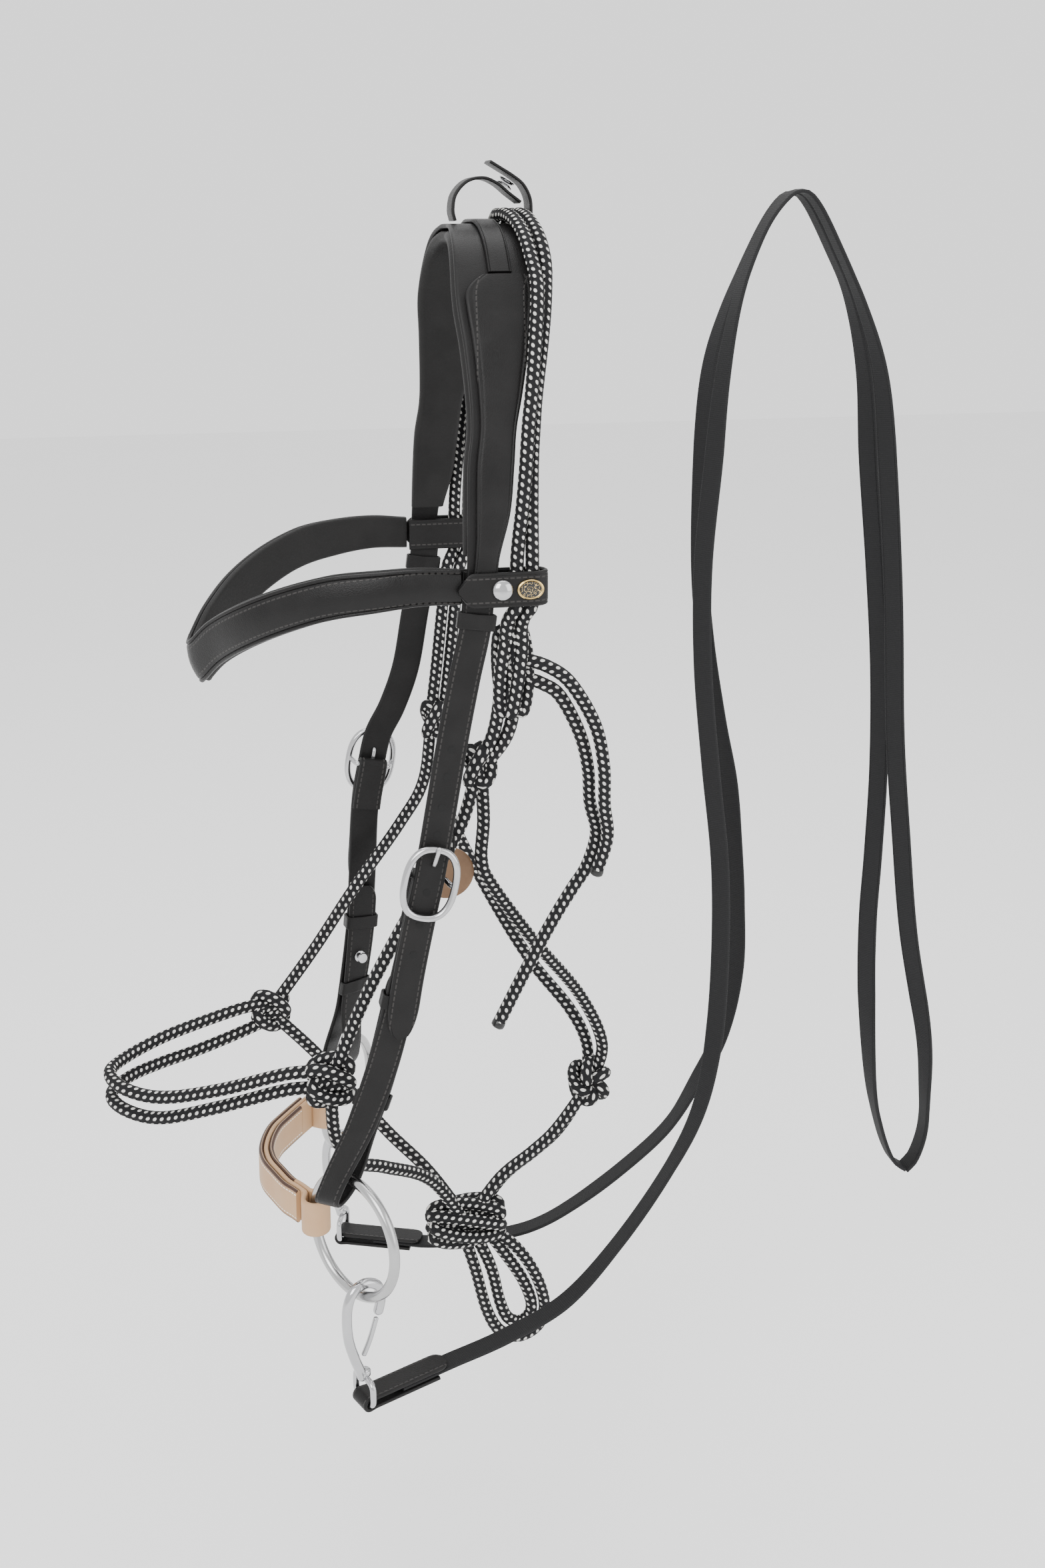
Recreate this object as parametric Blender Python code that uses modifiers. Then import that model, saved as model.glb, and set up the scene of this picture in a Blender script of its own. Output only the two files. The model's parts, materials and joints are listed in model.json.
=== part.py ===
"""Rope halter combined with a sidepull bridle and webbing reins.

Frame: +Z up, the horse faces -X, the near side is -Y. The origin is the middle of the flat
seat under the headpiece, where it rests on the poll. Lengths are metres, angles radians.
"""

import math

import bmesh
import bpy
from mathutils import Matrix, Vector

# --- driving dimensions ---------------------------------------------------------------
GAP = 0.0003            # clearance between pieces that touch
ROPE_DIAMETER = 0.0075
ROPE_STEP = 0.018       # spacing of a rope's points
CROWN_STEP = 0.0125     # where it bends over the poll
TIGHT_STEP = 0.010      # where it bends tightly
KNOT_CLEARANCE = 0.0022  # from a knot's skin to the cut end of a rope
STRAP_WIDTH = 0.0175    # cheek straps and billets
BILLET_THICKNESS = 0.003
PAD_THICKNESS = 0.008
CROWN_THICKNESS = 0.003
OVERLAY_THICKNESS = 0.0025
POLL_STRAP_WIDTH = 0.013
BROWBAND_FACE = 0.003
BROWBAND_LINING = 0.0045
TAB_HEIGHT = 0.019
TAB_THICKNESS = 0.0025
TAB_ROOM = 0.0112       # inside width of the browband's end loops
STUD_DIAMETER = 0.0115
KEEPER_THICKNESS = 0.0016
KEEPER_WIDTH = 0.009
KEEPER_PLAY = 0.0004
HOLE_DIAMETER = 0.0042
BUCKLE_LENGTH = 0.043
BUCKLE_WIDTH = 0.032
BUCKLE_WIRE = 0.004
BAR_WIRE = 0.003
TONGUE_WIRE = 0.0024
CHEEK_THICKNESS = 0.0026
RING_DIAMETER = 0.068   # through the middle of the wire
RING_WIRE = 0.006
NOSE_HEIGHT = 0.0205
NOSE_LAYER = 0.0028     # each of the noseband's three layers
SNAP_WIRE = 0.0058
GATE_WIRE = 0.0030
EYE_WIRE = 0.0036
REIN_WIDTH = 0.013
REIN_THICKNESS = 0.0025
REIN_LEATHER = 0.0022
TAG_DIAMETER = 0.030
TAG_THICKNESS = 0.002
SEAT_HALF = 0.012       # half length of the flat seat at the poll
ARCH_STEP = 0.0125      # spacing of the bends of the layers over the poll

SIDES = {"near": -1, "far": 1}

# --- routes, hand laid: (x, outward, z) for paired straps, (x, y, z) for the rest ---------
ARCH = [(0, 0), (0.026, -0.004), (0.0375, -0.0125), (0.0505, -0.0315), (0.0598, -0.0535),
        (0.0675, -0.0805), (0.0742, -0.117), (0.0771, -0.1415), (0.079, -0.1655), (0.0795, -0.2)]
# arch length from the poll, front edge, rear edge
CROWN_EDGES = [(0, -0.025, 0.017), (0.03, -0.0285, 0.0155), (0.064, -0.031, 0.0115),
               (0.09, -0.029, 0.0065), (0.116, -0.0275, 0.001), (0.134, -0.0275, -0.003),
               (0.153, -0.030, -0.005), (0.178, -0.031, -0.008), (0.202, -0.0315, -0.0145),
               (0.222, -0.0325, -0.0155)]
PAD_END = 0.199
CROWN_END = 0.222
OVERLAY_START = 0.054
OVERLAY_END = 0.2215
BROWBAND = [(-0.0355, 0.0880, -0.179), (-0.057, 0.0888, -0.178), (-0.080, 0.0866, -0.180),
            (-0.104, 0.078, -0.184), (-0.127, 0.0625, -0.193), (-0.146, 0.043, -0.2045),
            (-0.160, 0.021, -0.2175), (-0.1685, 0.006, -0.2300), (-0.1700, 0.0, -0.2330)]
BROWBAND_HALF = [0.0092, 0.0100, 0.0110, 0.0118, 0.0122, 0.0125, 0.0127, 0.0130, 0.0130]
BROWBAND_LEAN = 0.30     # the lower edge leans back towards the face at the front

BILLET = {
    "near": [(-0.0240, 0.0848, -0.172), (-0.0262, 0.0855, -0.200), (-0.033, 0.0868, -0.230),
             (-0.040, 0.0872, -0.265), (-0.0465, 0.0880, -0.301), (-0.0500, 0.0889, -0.320),
             (-0.0540, 0.0893, -0.341), (-0.0590, 0.0896, -0.363), (-0.0660, 0.0898, -0.397),
             (-0.0715, 0.0910, -0.430)],
    "far": [(-0.0230, 0.0848, -0.172), (-0.0255, 0.0852, -0.200), (-0.031, 0.0858, -0.232),
            (-0.0370, 0.0856, -0.265), (-0.0460, 0.0852, -0.290), (-0.0553, 0.0852, -0.308),
            (-0.0600, 0.0853, -0.327), (-0.0640, 0.0866, -0.350), (-0.0662, 0.0892, -0.383),
            (-0.0685, 0.0873, -0.412)],
}
# the lower cheek strap, from the buckle's bar to the ring
CHEEK = {
    "near": [(-0.0540, 0.0833, -0.341), (-0.0605, 0.0834, -0.370), (-0.0700, 0.0835, -0.410),
             (-0.0800, 0.0836, -0.449), (-0.0905, 0.0838, -0.480), (-0.1033, 0.0836, -0.5122)],
    "far": [(-0.0600, 0.0793, -0.327), (-0.0648, 0.0798, -0.355), (-0.0668, 0.0803, -0.390),
            (-0.0690, 0.0801, -0.430), (-0.0745, 0.0790, -0.470), (-0.0837, 0.0778, -0.5171)],
}
RING_HOLD = (0.66, 0.75, 0.16)   # across the strap where it holds the ring: x, outward, z
TURN_START = 0.35        # how far down the strap it begins to turn that way
RING_CENTRE = {"near": (-0.0985, -0.091, -0.545), "far": (-0.079, 0.085, -0.550)}
RING_YAW = math.radians(57)      # the ring's plane, away from the line of the cheek
SNAP_ANGLE = {"near": math.radians(168), "far": math.radians(198)}
NOSEBAND = [(-0.1214, -0.0551, -0.545), (-0.1252, -0.0480, -0.545), (-0.1297, -0.0406, -0.545),
            (-0.1344, -0.0277, -0.545), (-0.1380, -0.0168, -0.545), (-0.1392, -0.0085, -0.545),
            (-0.1391, 0.0, -0.545), (-0.1365, 0.0120, -0.545), (-0.1319, 0.0239, -0.545),
            (-0.1259, 0.0332, -0.5452), (-0.1173, 0.0455, -0.5456), (-0.1086, 0.0573, -0.546)]

# arch length, height over the pad's underside, x: the two crown strands, poll to tab
STRAND_FRONT = [(0, 0.0162, 0.0052), (0.030, 0.0167, 0.0095), (0.046, 0.0172, 0.0112),
                (0.062, 0.0183, 0.0120), (0.088, 0.0183, 0.0085), (0.116, 0.0180, 0.0045),
                (0.134, 0.0172, 0.0020), (0.153, 0.0160, 0.0003), (0.178, 0.0135, -0.0022),
                (0.198, 0.0103, -0.0042), (0.212, 0.0092, -0.0044), (0.227, 0.0092, -0.0046)]
STRAND_REAR = [(0, 0.0162, 0.0137), (0.030, 0.0167, 0.0176), (0.046, 0.0152, 0.0192),
               (0.062, 0.0122, 0.0180), (0.088, 0.0113, 0.0137), (0.116, 0.0104, 0.0087),
               (0.134, 0.0098, 0.0067), (0.153, 0.0090, 0.0052), (0.178, 0.0082, 0.0045),
               (0.198, 0.0090, 0.0042), (0.212, 0.0092, 0.0040), (0.227, 0.0092, 0.0038)]

# knot centres and half sizes
KNOTS = {
    "knot_tie": ((-0.0045, -0.0770, -0.2290), (0.0125, 0.0095, 0.0270)),
    "knot_cheek_near": ((-0.0220, -0.0690, -0.2840), (0.0110, 0.0100, 0.0130)),
    "knot_cheek_far": ((-0.0210, 0.0710, -0.2970), (0.0110, 0.0100, 0.0130)),
    "knot_nose_near": ((-0.1060, -0.0570, -0.4680), (0.0145, 0.0120, 0.0170)),
    "knot_nose_far": ((-0.1300, 0.0560, -0.4740), (0.0125, 0.0110, 0.0145)),
    "knot_throat": ((0.0620, 0.0, -0.5160), (0.0145, 0.0120, 0.0160)),
    "knot_fiador": ((-0.0170, 0.0, -0.6010), (0.0250, 0.0140, 0.0170)),
}
ROPES = {
    "rope_cheek_near": [(-0.022, -0.069, -0.284), (-0.0315, -0.0675, -0.318),
                        (-0.0505, -0.066, -0.351), (-0.069, -0.064, -0.384),
                        (-0.087, -0.0615, -0.42), (-0.106, -0.057, -0.468)],
    "rope_cheek_far": [(-0.0235, 0.071, -0.297), (-0.0292, 0.069, -0.336),
                       (-0.045, 0.066, -0.362), (-0.076, 0.062, -0.402),
                       (-0.102, 0.06, -0.439), (-0.13, 0.056, -0.474)],
    "rope_throat_near": [(-0.02, -0.067, -0.286), (-0.0175, -0.0615, -0.318),
                         (-0.018, -0.0575, -0.343), (-0.0115, -0.053, -0.36),
                         (0.018, -0.035, -0.405), (0.052, -0.013, -0.452),
                         (0.069, -0.004, -0.49), (0.064, 0, -0.516)],
    "rope_throat_far": [(-0.0175, 0.0685, -0.3), (-0.016, 0.062, -0.345), (-0.009, 0.055, -0.37),
                        (0.012, 0.04, -0.413), (0.031, 0.023, -0.445), (0.052, 0.01, -0.472),
                        (0.062, 0.006, -0.495), (0.06, 0, -0.516)],
    "rope_nose_upper": [(-0.13, 0.056, -0.47), (-0.147, 0.051, -0.469),
                        (-0.172, 0.044, -0.472), (-0.197, 0.034, -0.475),
                        (-0.219, 0.019, -0.478), (-0.2285, 0.001, -0.478),
                        (-0.22, -0.018, -0.4795), (-0.199, -0.03, -0.481),
                        (-0.167, -0.042, -0.474), (-0.129, -0.054, -0.4625),
                        (-0.106, -0.057, -0.463)],
    "rope_nose_lower": [(-0.13, 0.056, -0.48), (-0.148, 0.05, -0.484),
                        (-0.175, 0.041, -0.4885), (-0.199, 0.031, -0.49),
                        (-0.218, 0.017, -0.49), (-0.228, -0.001, -0.4905),
                        (-0.22, -0.018, -0.4925), (-0.2, -0.03, -0.4935),
                        (-0.168, -0.042, -0.4845), (-0.129, -0.054, -0.4722),
                        (-0.106, -0.057, -0.473)],
    "rope_chin_far": [(-0.13, 0.056, -0.476), (-0.103, 0.05, -0.5035), (-0.081, 0.04, -0.529),
                      (-0.06, 0.028, -0.552), (-0.038, 0.013, -0.572), (-0.017, 0.003, -0.601)],
    "rope_chin_near": [(-0.106, -0.057, -0.474), (-0.103, -0.052, -0.506),
                       (-0.091, -0.046, -0.526), (-0.072, -0.036, -0.5375),
                       (-0.042, -0.016, -0.561), (-0.017, -0.003, -0.601)],
    "rope_fiador_near": [(0.06, -0.004, -0.518), (0.04, -0.0042, -0.544),
                         (0.025, -0.0042, -0.557), (0.009, -0.0042, -0.568),
                         (-0.001, -0.0042, -0.578), (-0.015, 0, -0.601)],
    "rope_fiador_far": [(0.064, 0.004, -0.518), (0.045, 0.0042, -0.547),
                        (0.029, 0.0042, -0.561), (0.013, 0.0042, -0.572),
                        (0.003, 0.0042, -0.582), (-0.013, 0, -0.601)],
    "rope_tail_long": [(-0.001, -0.077, -0.232), (0.012, -0.078, -0.237),
                       (0.0225, -0.078, -0.245), (0.0345, -0.075, -0.268),
                       (0.0405, -0.071, -0.29), (0.043, -0.066, -0.311),
                       (0.048, -0.062, -0.331), (0.043, -0.0605, -0.351),
                       (0.0345, -0.0605, -0.364), (0.023, -0.062, -0.381),
                       (0.0065, -0.064, -0.409), (-0.011, -0.066, -0.441)],
    "rope_tail_short": [(-0.001, -0.077, -0.222), (0.014, -0.0815, -0.2265),
                        (0.0275, -0.082, -0.237), (0.042, -0.08, -0.262),
                        (0.0475, -0.079, -0.287), (0.049, -0.0755, -0.31),
                        (0.052, -0.0715, -0.331), (0.046, -0.0695, -0.353)],
}
# strands that are one piece with their knot
JOINED = {
    "tie_front": ("knot_tie", [(-0.0085, -0.077, -0.23), (-0.0135, -0.0735, -0.262),
                               (-0.0225, -0.069, -0.284)]),
    "tie_rear": ("knot_tie", [(-0.0005, -0.077, -0.23), (-0.005, -0.0735, -0.262),
                              (-0.0175, -0.069, -0.284)]),
    "lead_outer": ("knot_fiador", [
        (-0.019, 0, -0.609), (-0.0115, 0, -0.634), (-0.004, 0, -0.664), (0.005, 0, -0.6805),
        (0.018, 0, -0.6855), (0.03, 0, -0.679), (0.0335, 0, -0.665), (0.0275, 0, -0.644),
        (0.015, 0, -0.6235), (-0.003, 0, -0.607)]),
    "lead_inner": ("knot_fiador", [
        (-0.013, 0, -0.607), (-0.0015, 0, -0.634), (0.0045, 0, -0.6595), (0.0095, 0, -0.6715),
        (0.0175, 0, -0.6755), (0.024, 0, -0.6705), (0.0245, 0, -0.661), (0.0185, 0, -0.645),
        (0.0065, 0, -0.625), (-0.007, 0, -0.605)]),
}
CROWN_FAR_TAIL = [(-0.0070, 0.0815, -0.203), (-0.0110, 0.078, -0.231), (-0.0150, 0.0755, -0.263),
                  (-0.0200, 0.0715, -0.297)]
CROWN_NEAR_TAIL = [(-0.0045, -0.0830, -0.202), (-0.0045, -0.0770, -0.229)]

REINS = {
    "near": [(-0.005, -0.064, -0.639), (0.034, -0.054, -0.628), (0.069, -0.046, -0.599),
             (0.101, -0.038, -0.563), (0.122, -0.033, -0.529), (0.133, -0.028, -0.490),
             (0.138, -0.024, -0.438), (0.138, -0.021, -0.375), (0.131, -0.020, -0.311),
             (0.125, -0.020, -0.249), (0.124, -0.020, -0.188), (0.129, -0.020, -0.129),
             (0.134, -0.019, -0.078), (0.143, -0.017, -0.032), (0.158, -0.014, 0.006),
             (0.1725, -0.012, 0.0255), (0.183, -0.0115, 0.0300), (0.192, -0.0115, 0.0230),
             (0.204, -0.012, 0.002), (0.222, -0.012, -0.035), (0.236, -0.012, -0.077),
             (0.243, -0.012, -0.133), (0.250, -0.012, -0.216), (0.254, -0.013, -0.300),
             (0.260, -0.014, -0.365), (0.268, -0.014, -0.433), (0.283, -0.011, -0.505),
             (0.2875, -0.007, -0.549), (0.2885, -0.004, -0.5750), (0.2845, -0.001, -0.5950),
             (0.2782, 0.0, -0.6030)],
    "far": [(-0.008, 0.047, -0.6440), (0.010, 0.043, -0.641), (0.035, 0.039, -0.635),
            (0.059, 0.035, -0.622), (0.091, 0.029, -0.597), (0.121, 0.023, -0.567),
            (0.139, 0.018, -0.534), (0.153, 0.014, -0.502), (0.161, 0.011, -0.456),
            (0.160, 0.009, -0.410), (0.157, 0.008, -0.370), (0.153, 0.008, -0.330),
            (0.145, 0.009, -0.290), (0.137, 0.011, -0.240), (0.133, 0.012, -0.194),
            (0.133, 0.012, -0.133), (0.136, 0.012, -0.077), (0.146, 0.011, -0.038),
            (0.164, 0.009, 0.004), (0.1765, 0.0075, 0.0245), (0.186, 0.0070, 0.0295),
            (0.1945, 0.0065, 0.0225), (0.208, 0.006, -0.002), (0.223, 0.006, -0.034),
            (0.234, 0.007, -0.078), (0.240, 0.009, -0.136), (0.247, 0.010, -0.199),
            (0.252, 0.009, -0.264), (0.253, 0.007, -0.328), (0.251, 0.006, -0.385),
            (0.249, 0.006, -0.430), (0.250, 0.006, -0.480), (0.2545, 0.005, -0.541),
            (0.2610, 0.003, -0.574), (0.2690, 0.001, -0.5955), (0.2752, 0.0, -0.6025)],
}
REIN_STEP = 0.026

COLOURS = {
    "black_leather": ((0.012, 0.012, 0.014), 0.38, 0.0),
    "soft_leather": ((0.014, 0.014, 0.016), 0.52, 0.0),
    "tan_leather": ((0.62, 0.33, 0.17), 0.55, 0.0),
    "brown_edge": ((0.20, 0.07, 0.035), 0.45, 0.0),
    "tag_leather": ((0.32, 0.20, 0.13), 0.6, 0.0),
    "rope": ((0.03, 0.03, 0.032), 0.8, 0.0),
    "webbing": ((0.015, 0.015, 0.016), 0.75, 0.0),
    "chrome": ((0.80, 0.80, 0.80), 0.12, 1.0),
    "steel": ((0.62, 0.60, 0.57), 0.28, 1.0),
    "brass": ((0.75, 0.55, 0.22), 0.3, 1.0),
}

COLLECTION = "rope_halter"
CUTTERS = "cutters"
DENSE = 10              # curve samples between two route points


# --- scene and objects ------------------------------------------------------------------
def clear_scene():
    for item in list(bpy.data.objects):
        bpy.data.objects.remove(item, do_unlink=True)
    for name in (COLLECTION, CUTTERS):
        group = bpy.data.collections.new(name)
        bpy.context.scene.collection.children.link(group)


def material(kind, name):
    colour, roughness, metallic = COLOURS[kind]
    made = bpy.data.materials.new(name)
    made.use_nodes = True
    shader = made.node_tree.nodes["Principled BSDF"]
    shader.inputs["Base Color"].default_value = (*colour, 1)
    shader.inputs["Roughness"].default_value = roughness
    shader.inputs["Metallic"].default_value = metallic
    return made


def add_object(name, data, kind):
    item = bpy.data.objects.new(name, data)
    bpy.data.collections[COLLECTION].objects.link(item)
    data.materials.clear()
    data.materials.append(material(kind, name))
    return item


def mesh_object(name, bm, kind):
    bmesh.ops.recalc_face_normals(bm, faces=bm.faces)
    mesh = bpy.data.meshes.new(name)
    bm.to_mesh(mesh)
    bm.free()
    mesh.shade_smooth()
    mesh.set_sharp_from_angle(angle=math.radians(40))
    return add_object(name, mesh, kind)


def hide_cutter(item):
    bpy.data.collections[COLLECTION].objects.unlink(item)
    bpy.data.collections[CUTTERS].objects.link(item)
    item.hide_render = True
    item.display_type = "WIRE"


def boolean(item, tool, operation):
    cut = item.modifiers.new(operation.lower(), "BOOLEAN")
    cut.operation = operation
    cut.object = tool
    hide_cutter(tool)


def as_mesh(item):
    """Turns a curve object into a welded mesh object of the same name."""
    bpy.context.view_layer.update()
    graph = bpy.context.evaluated_depsgraph_get()
    mesh = bpy.data.meshes.new_from_object(item.evaluated_get(graph))
    bm = bmesh.new()
    bm.from_mesh(mesh)
    bmesh.ops.remove_doubles(bm, verts=bm.verts, dist=1e-5)
    bmesh.ops.recalc_face_normals(bm, faces=bm.faces)
    bm.to_mesh(mesh)
    bm.free()
    name = item.name
    place = item.matrix_world.copy()
    bpy.data.objects.remove(item, do_unlink=True)
    solid = bpy.data.objects.new(name, mesh)
    solid.matrix_world = place
    bpy.data.collections[COLLECTION].objects.link(solid)
    return solid


# --- paths ------------------------------------------------------------------------------
def catmull(a, b, c, d, t):
    return 0.5 * ((2 * b) + (c - a) * t + (2 * a - 5 * b + 4 * c - d) * t * t
                  + (3 * b - a - 3 * c + d) * t ** 3)


def smooth(points):
    """Dense samples of a smooth curve through the points."""
    knots = [Vector(p) for p in points]
    ends = [2 * knots[0] - knots[1]] + knots + [2 * knots[-1] - knots[-2]]
    dense = []
    for i in range(len(knots) - 1):
        for k in range(DENSE):
            dense.append(catmull(*ends[i:i + 4], k / DENSE))
    dense.append(knots[-1])
    return dense


def even(dense, step):
    """Points at even spacing, close to step, along a dense path."""
    lengths = [0.0]
    for a, b in zip(dense, dense[1:]):
        lengths.append(lengths[-1] + (b - a).length)
    count = max(2, round(lengths[-1] / step))
    picked = []
    k = 0
    for i in range(count + 1):
        target = lengths[-1] * i / count
        while k < len(lengths) - 2 and lengths[k + 1] < target:
            k += 1
        span = max(lengths[k + 1] - lengths[k], 1e-9)
        picked.append(dense[k].lerp(dense[k + 1], (target - lengths[k]) / span))
    return picked


def read(table, at):
    """Smoothly read value rows, keyed by their first number, at a place between them."""
    rows = [Vector(row[1:]) for row in table]
    keys = [row[0] for row in table]
    i = 0
    while i < len(keys) - 2 and at > keys[i + 1]:
        i += 1
    t = min(max((at - keys[i]) / (keys[i + 1] - keys[i]), 0), 1)
    before = rows[i - 1] if i else rows[i]
    after = rows[i + 2] if i + 2 < len(rows) else rows[i + 1]
    return catmull(before, rows[i], rows[i + 1], after, t)


def directions(path):
    out = []
    for i in range(len(path)):
        a, b = path[max(i - 1, 0)], path[min(i + 1, len(path) - 1)]
        out.append((b - a).normalized())
    return out


# --- ribbons: straps as open surfaces with Solidify --------------------------------------
def ribbon(name, rows, thickness, kind, closed=False, columns=1):
    """A strap whose cross lines are the (left, right) point pairs in rows."""
    bm = bmesh.new()
    bmesh.ops.create_grid(bm, x_segments=columns, y_segments=len(rows) - 1, size=1.0)
    for vert in bm.verts:
        left, right = rows[round((vert.co.y + 1) / 2 * (len(rows) - 1))]
        vert.co = left.lerp(right, (vert.co.x + 1) / 2)
    if closed:
        bmesh.ops.remove_doubles(bm, verts=bm.verts, dist=1e-6)
    mesh = bpy.data.meshes.new(name)
    bm.to_mesh(mesh)
    bm.free()
    item = add_object(name, mesh, kind)
    shell = item.modifiers.new("leather", "SOLIDIFY")
    shell.thickness = thickness
    shell.offset = 0
    shell.use_even_offset = True
    return item


def strap_frames(path, outward):
    """(point, along, out, across) at each point; across points to +X where it can."""
    frames = []
    for point, along in zip(path, directions(path)):
        out = (outward - along * outward.dot(along)).normalized()
        across = along.cross(out)
        if across.x < 0:
            across.negate()
        frames.append((point, along, out, across))
    return frames


def strap_rows(frames, halves, lift=0.0):
    rows = []
    for i, (point, _, out, across) in enumerate(frames):
        half = halves[i] if isinstance(halves, list) else halves
        middle = point + out * lift
        rows.append((middle - across * half, middle + across * half))
    return rows


# --- tubes --------------------------------------------------------------------------------
def tube(name, paths, diameter, kind, closed=False, sides=2):
    """Round wires or ropes, one for each path, as one curve object."""
    data = bpy.data.curves.new(name, "CURVE")
    data.dimensions = "3D"
    data.bevel_depth = diameter / 2
    data.bevel_resolution = sides
    data.use_fill_caps = True
    for path in paths:
        spline = data.splines.new("POLY")
        spline.points.add(len(path) - 1)
        for point, place in zip(spline.points, path):
            point.co = (*place, 1)
        spline.use_cyclic_u = closed
    return add_object(name, data, kind)


def inside_knot(point, clearance, skip=None):
    for name, (centre, half) in KNOTS.items():
        offset = point - Vector(centre)
        reach = sum((offset[k] / (half[k] + clearance)) ** 2 for k in range(3))
        if name != skip and reach < 1:
            return True
    return False


def between_knots(dense, skip=None):
    """The stretch of a path that lies outside the knots at its two ends."""
    fine = even(dense, 0.0008)
    first, last = 0, len(fine) - 1
    while first < last and inside_knot(fine[first], KNOT_CLEARANCE, skip):
        first += 1
    while last > first and inside_knot(fine[last], KNOT_CLEARANCE, skip):
        last -= 1
    return fine[first:last + 1]


def rope(name, route, step=ROPE_STEP, skip=None):
    path = even(between_knots(smooth(route), skip), step)
    return tube(name, [path], ROPE_DIAMETER, "rope")


# --- headpiece ------------------------------------------------------------------------------
def arch_side():
    """One half of the pad's underside: points and outward normals by arch length."""
    start = [Vector((0, 0, 0)), Vector((0, SEAT_HALF, 0))]
    rest = smooth([(0, y, z) for y, z in [(SEAT_HALF, 0)] + ARCH[1:]])
    return start + rest[1:]


ARCH_PATH = arch_side()
ARCH_LENGTHS = [0.0]
for _a, _b in zip(ARCH_PATH, ARCH_PATH[1:]):
    ARCH_LENGTHS.append(ARCH_LENGTHS[-1] + (_b - _a).length)


def arch_at(length, lift):
    """Point over the arch; a negative length is the near side."""
    side = -1 if length < 0 else 1
    length = abs(length)
    k = 0
    while k < len(ARCH_LENGTHS) - 2 and ARCH_LENGTHS[k + 1] < length:
        k += 1
    a, b = ARCH_PATH[k], ARCH_PATH[k + 1]
    point = a.lerp(b, (length - ARCH_LENGTHS[k]) / (b - a).length)
    before = ARCH_PATH[max(k - 3, 0)]
    after = ARCH_PATH[min(k + 4, len(ARCH_PATH) - 1)]
    along = (after - before).normalized()
    normal = Vector((0, -along.z, along.y))
    if length <= SEAT_HALF:
        normal = Vector((0, 0, 1))
    place = point + normal * lift
    return Vector((0, side * place.y, place.z))


def arch_lengths(first, last):
    """Both ends and the shared places between them, so that layers bend at the same points."""
    shared = [SEAT_HALF + ARCH_STEP * i for i in range(20)]
    return [first] + [s for s in shared if first + 0.004 < s < last - 0.004] + [last]


def arch_rows(lengths, lift, edges):
    rows = []
    for length in lengths:
        front, rear = edges(length)
        middle = arch_at(length, lift)
        rows.append((middle + Vector((front, 0, 0)), middle + Vector((rear, 0, 0))))
    return rows


def crown_edges(length):
    return tuple(read(CROWN_EDGES, abs(length)))


def both_ways(last):
    half = arch_lengths(SEAT_HALF, last)
    return [-s for s in reversed(half)] + half


def make_headpiece():
    lift = PAD_THICKNESS / 2
    pad = ribbon("headpiece_padding",
                 arch_rows(both_ways(PAD_END), lift,
                           lambda s: (crown_edges(s)[0] - 0.0012, crown_edges(s)[1] + 0.0012)),
                 PAD_THICKNESS, "soft_leather")
    pad.modifiers["leather"].use_even_offset = False
    lift = PAD_THICKNESS + GAP + CROWN_THICKNESS / 2
    top = ribbon("headpiece_leather", arch_rows(both_ways(CROWN_END), lift, crown_edges),
                 CROWN_THICKNESS, "black_leather")
    top.modifiers["leather"].use_even_offset = False
    lift = PAD_THICKNESS + CROWN_THICKNESS + 2 * GAP + OVERLAY_THICKNESS / 2

    def overlay_edges(s):
        front, rear = crown_edges(s)
        inset = 0.0045 - 0.002 * min(max((abs(s) - 0.19) / 0.03, 0), 1)
        nose = max(0.0, 0.012 - (abs(s) - OVERLAY_START)) / 0.012
        return front + inset + 0.010 * nose ** 2, rear - 0.0003 - 0.004 * nose ** 2

    for side, sign in SIDES.items():
        lengths = [sign * s for s in arch_lengths(OVERLAY_START, OVERLAY_END)]
        panel = ribbon("headpiece_overlay_" + side, arch_rows(lengths, lift, overlay_edges),
                       OVERLAY_THICKNESS, "black_leather")
        panel.modifiers["leather"].use_even_offset = False
    poll = both_ways(OVERLAY_START - 0.0015)
    poll_middle = -0.0060
    strip = ribbon("poll_strap",
                   arch_rows(poll, lift, lambda s: (poll_middle - POLL_STRAP_WIDTH / 2,
                                                    poll_middle + POLL_STRAP_WIDTH / 2)),
                   OVERLAY_THICKNESS, "black_leather")
    strip.modifiers["leather"].use_even_offset = False


# --- rope keeper over the poll ------------------------------------------------------------
KEEPER_STRAP = 0.016     # its width, across the poll
KEEPER_LEATHER = 0.0018
KEEPER_FRONT = [(-0.0210, 0, 0.0128), (-0.0222, 0, 0.0190), (-0.0205, 0, 0.0275),
                (-0.0140, 0, 0.0345), (-0.0050, 0, 0.0365), (0.0030, 0, 0.0335),
                (0.0100, 0, 0.0280), (0.0165, 0, 0.0232)]
KEEPER_REAR = [(0.0222, 0, 0.0118), (0.0226, 0, 0.0190), (0.0218, 0, 0.0260), (0.0180, 0, 0.0330),
               (0.0120, 0, 0.0378), (0.0050, 0, 0.0420), (-0.0010, 0, 0.0455)]
KEEPER_STUD = 0.0098     # diameter of the press stud's two halves
KEEPER_STUD_AT = (0.0093, 0, 0.0338)   # middle of the gap between the two leather layers
KEEPER_STUD_AXIS = (0.53, 0, 0.85)


def make_rope_keeper():
    wide = Vector((0, KEEPER_STRAP / 2, 0))
    for name, route in (("keeper_strap_front", KEEPER_FRONT), ("keeper_strap_rear", KEEPER_REAR)):
        path = even(smooth(route), 0.0045)
        ribbon(name, [(p - wide, p + wide) for p in path], KEEPER_LEATHER, "black_leather")
    axis = Vector(KEEPER_STUD_AXIS).normalized()
    middle = Vector(KEEPER_STUD_AT)
    post = turned("press_stud", [(0.0, 0.0016), (0.0034, 0.0016), (KEEPER_STUD / 2, 0.0),
                                      (0.0, 0.0)], "chrome", 16)
    place_turned(post, middle + axis * 0.0018, -axis)


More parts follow.
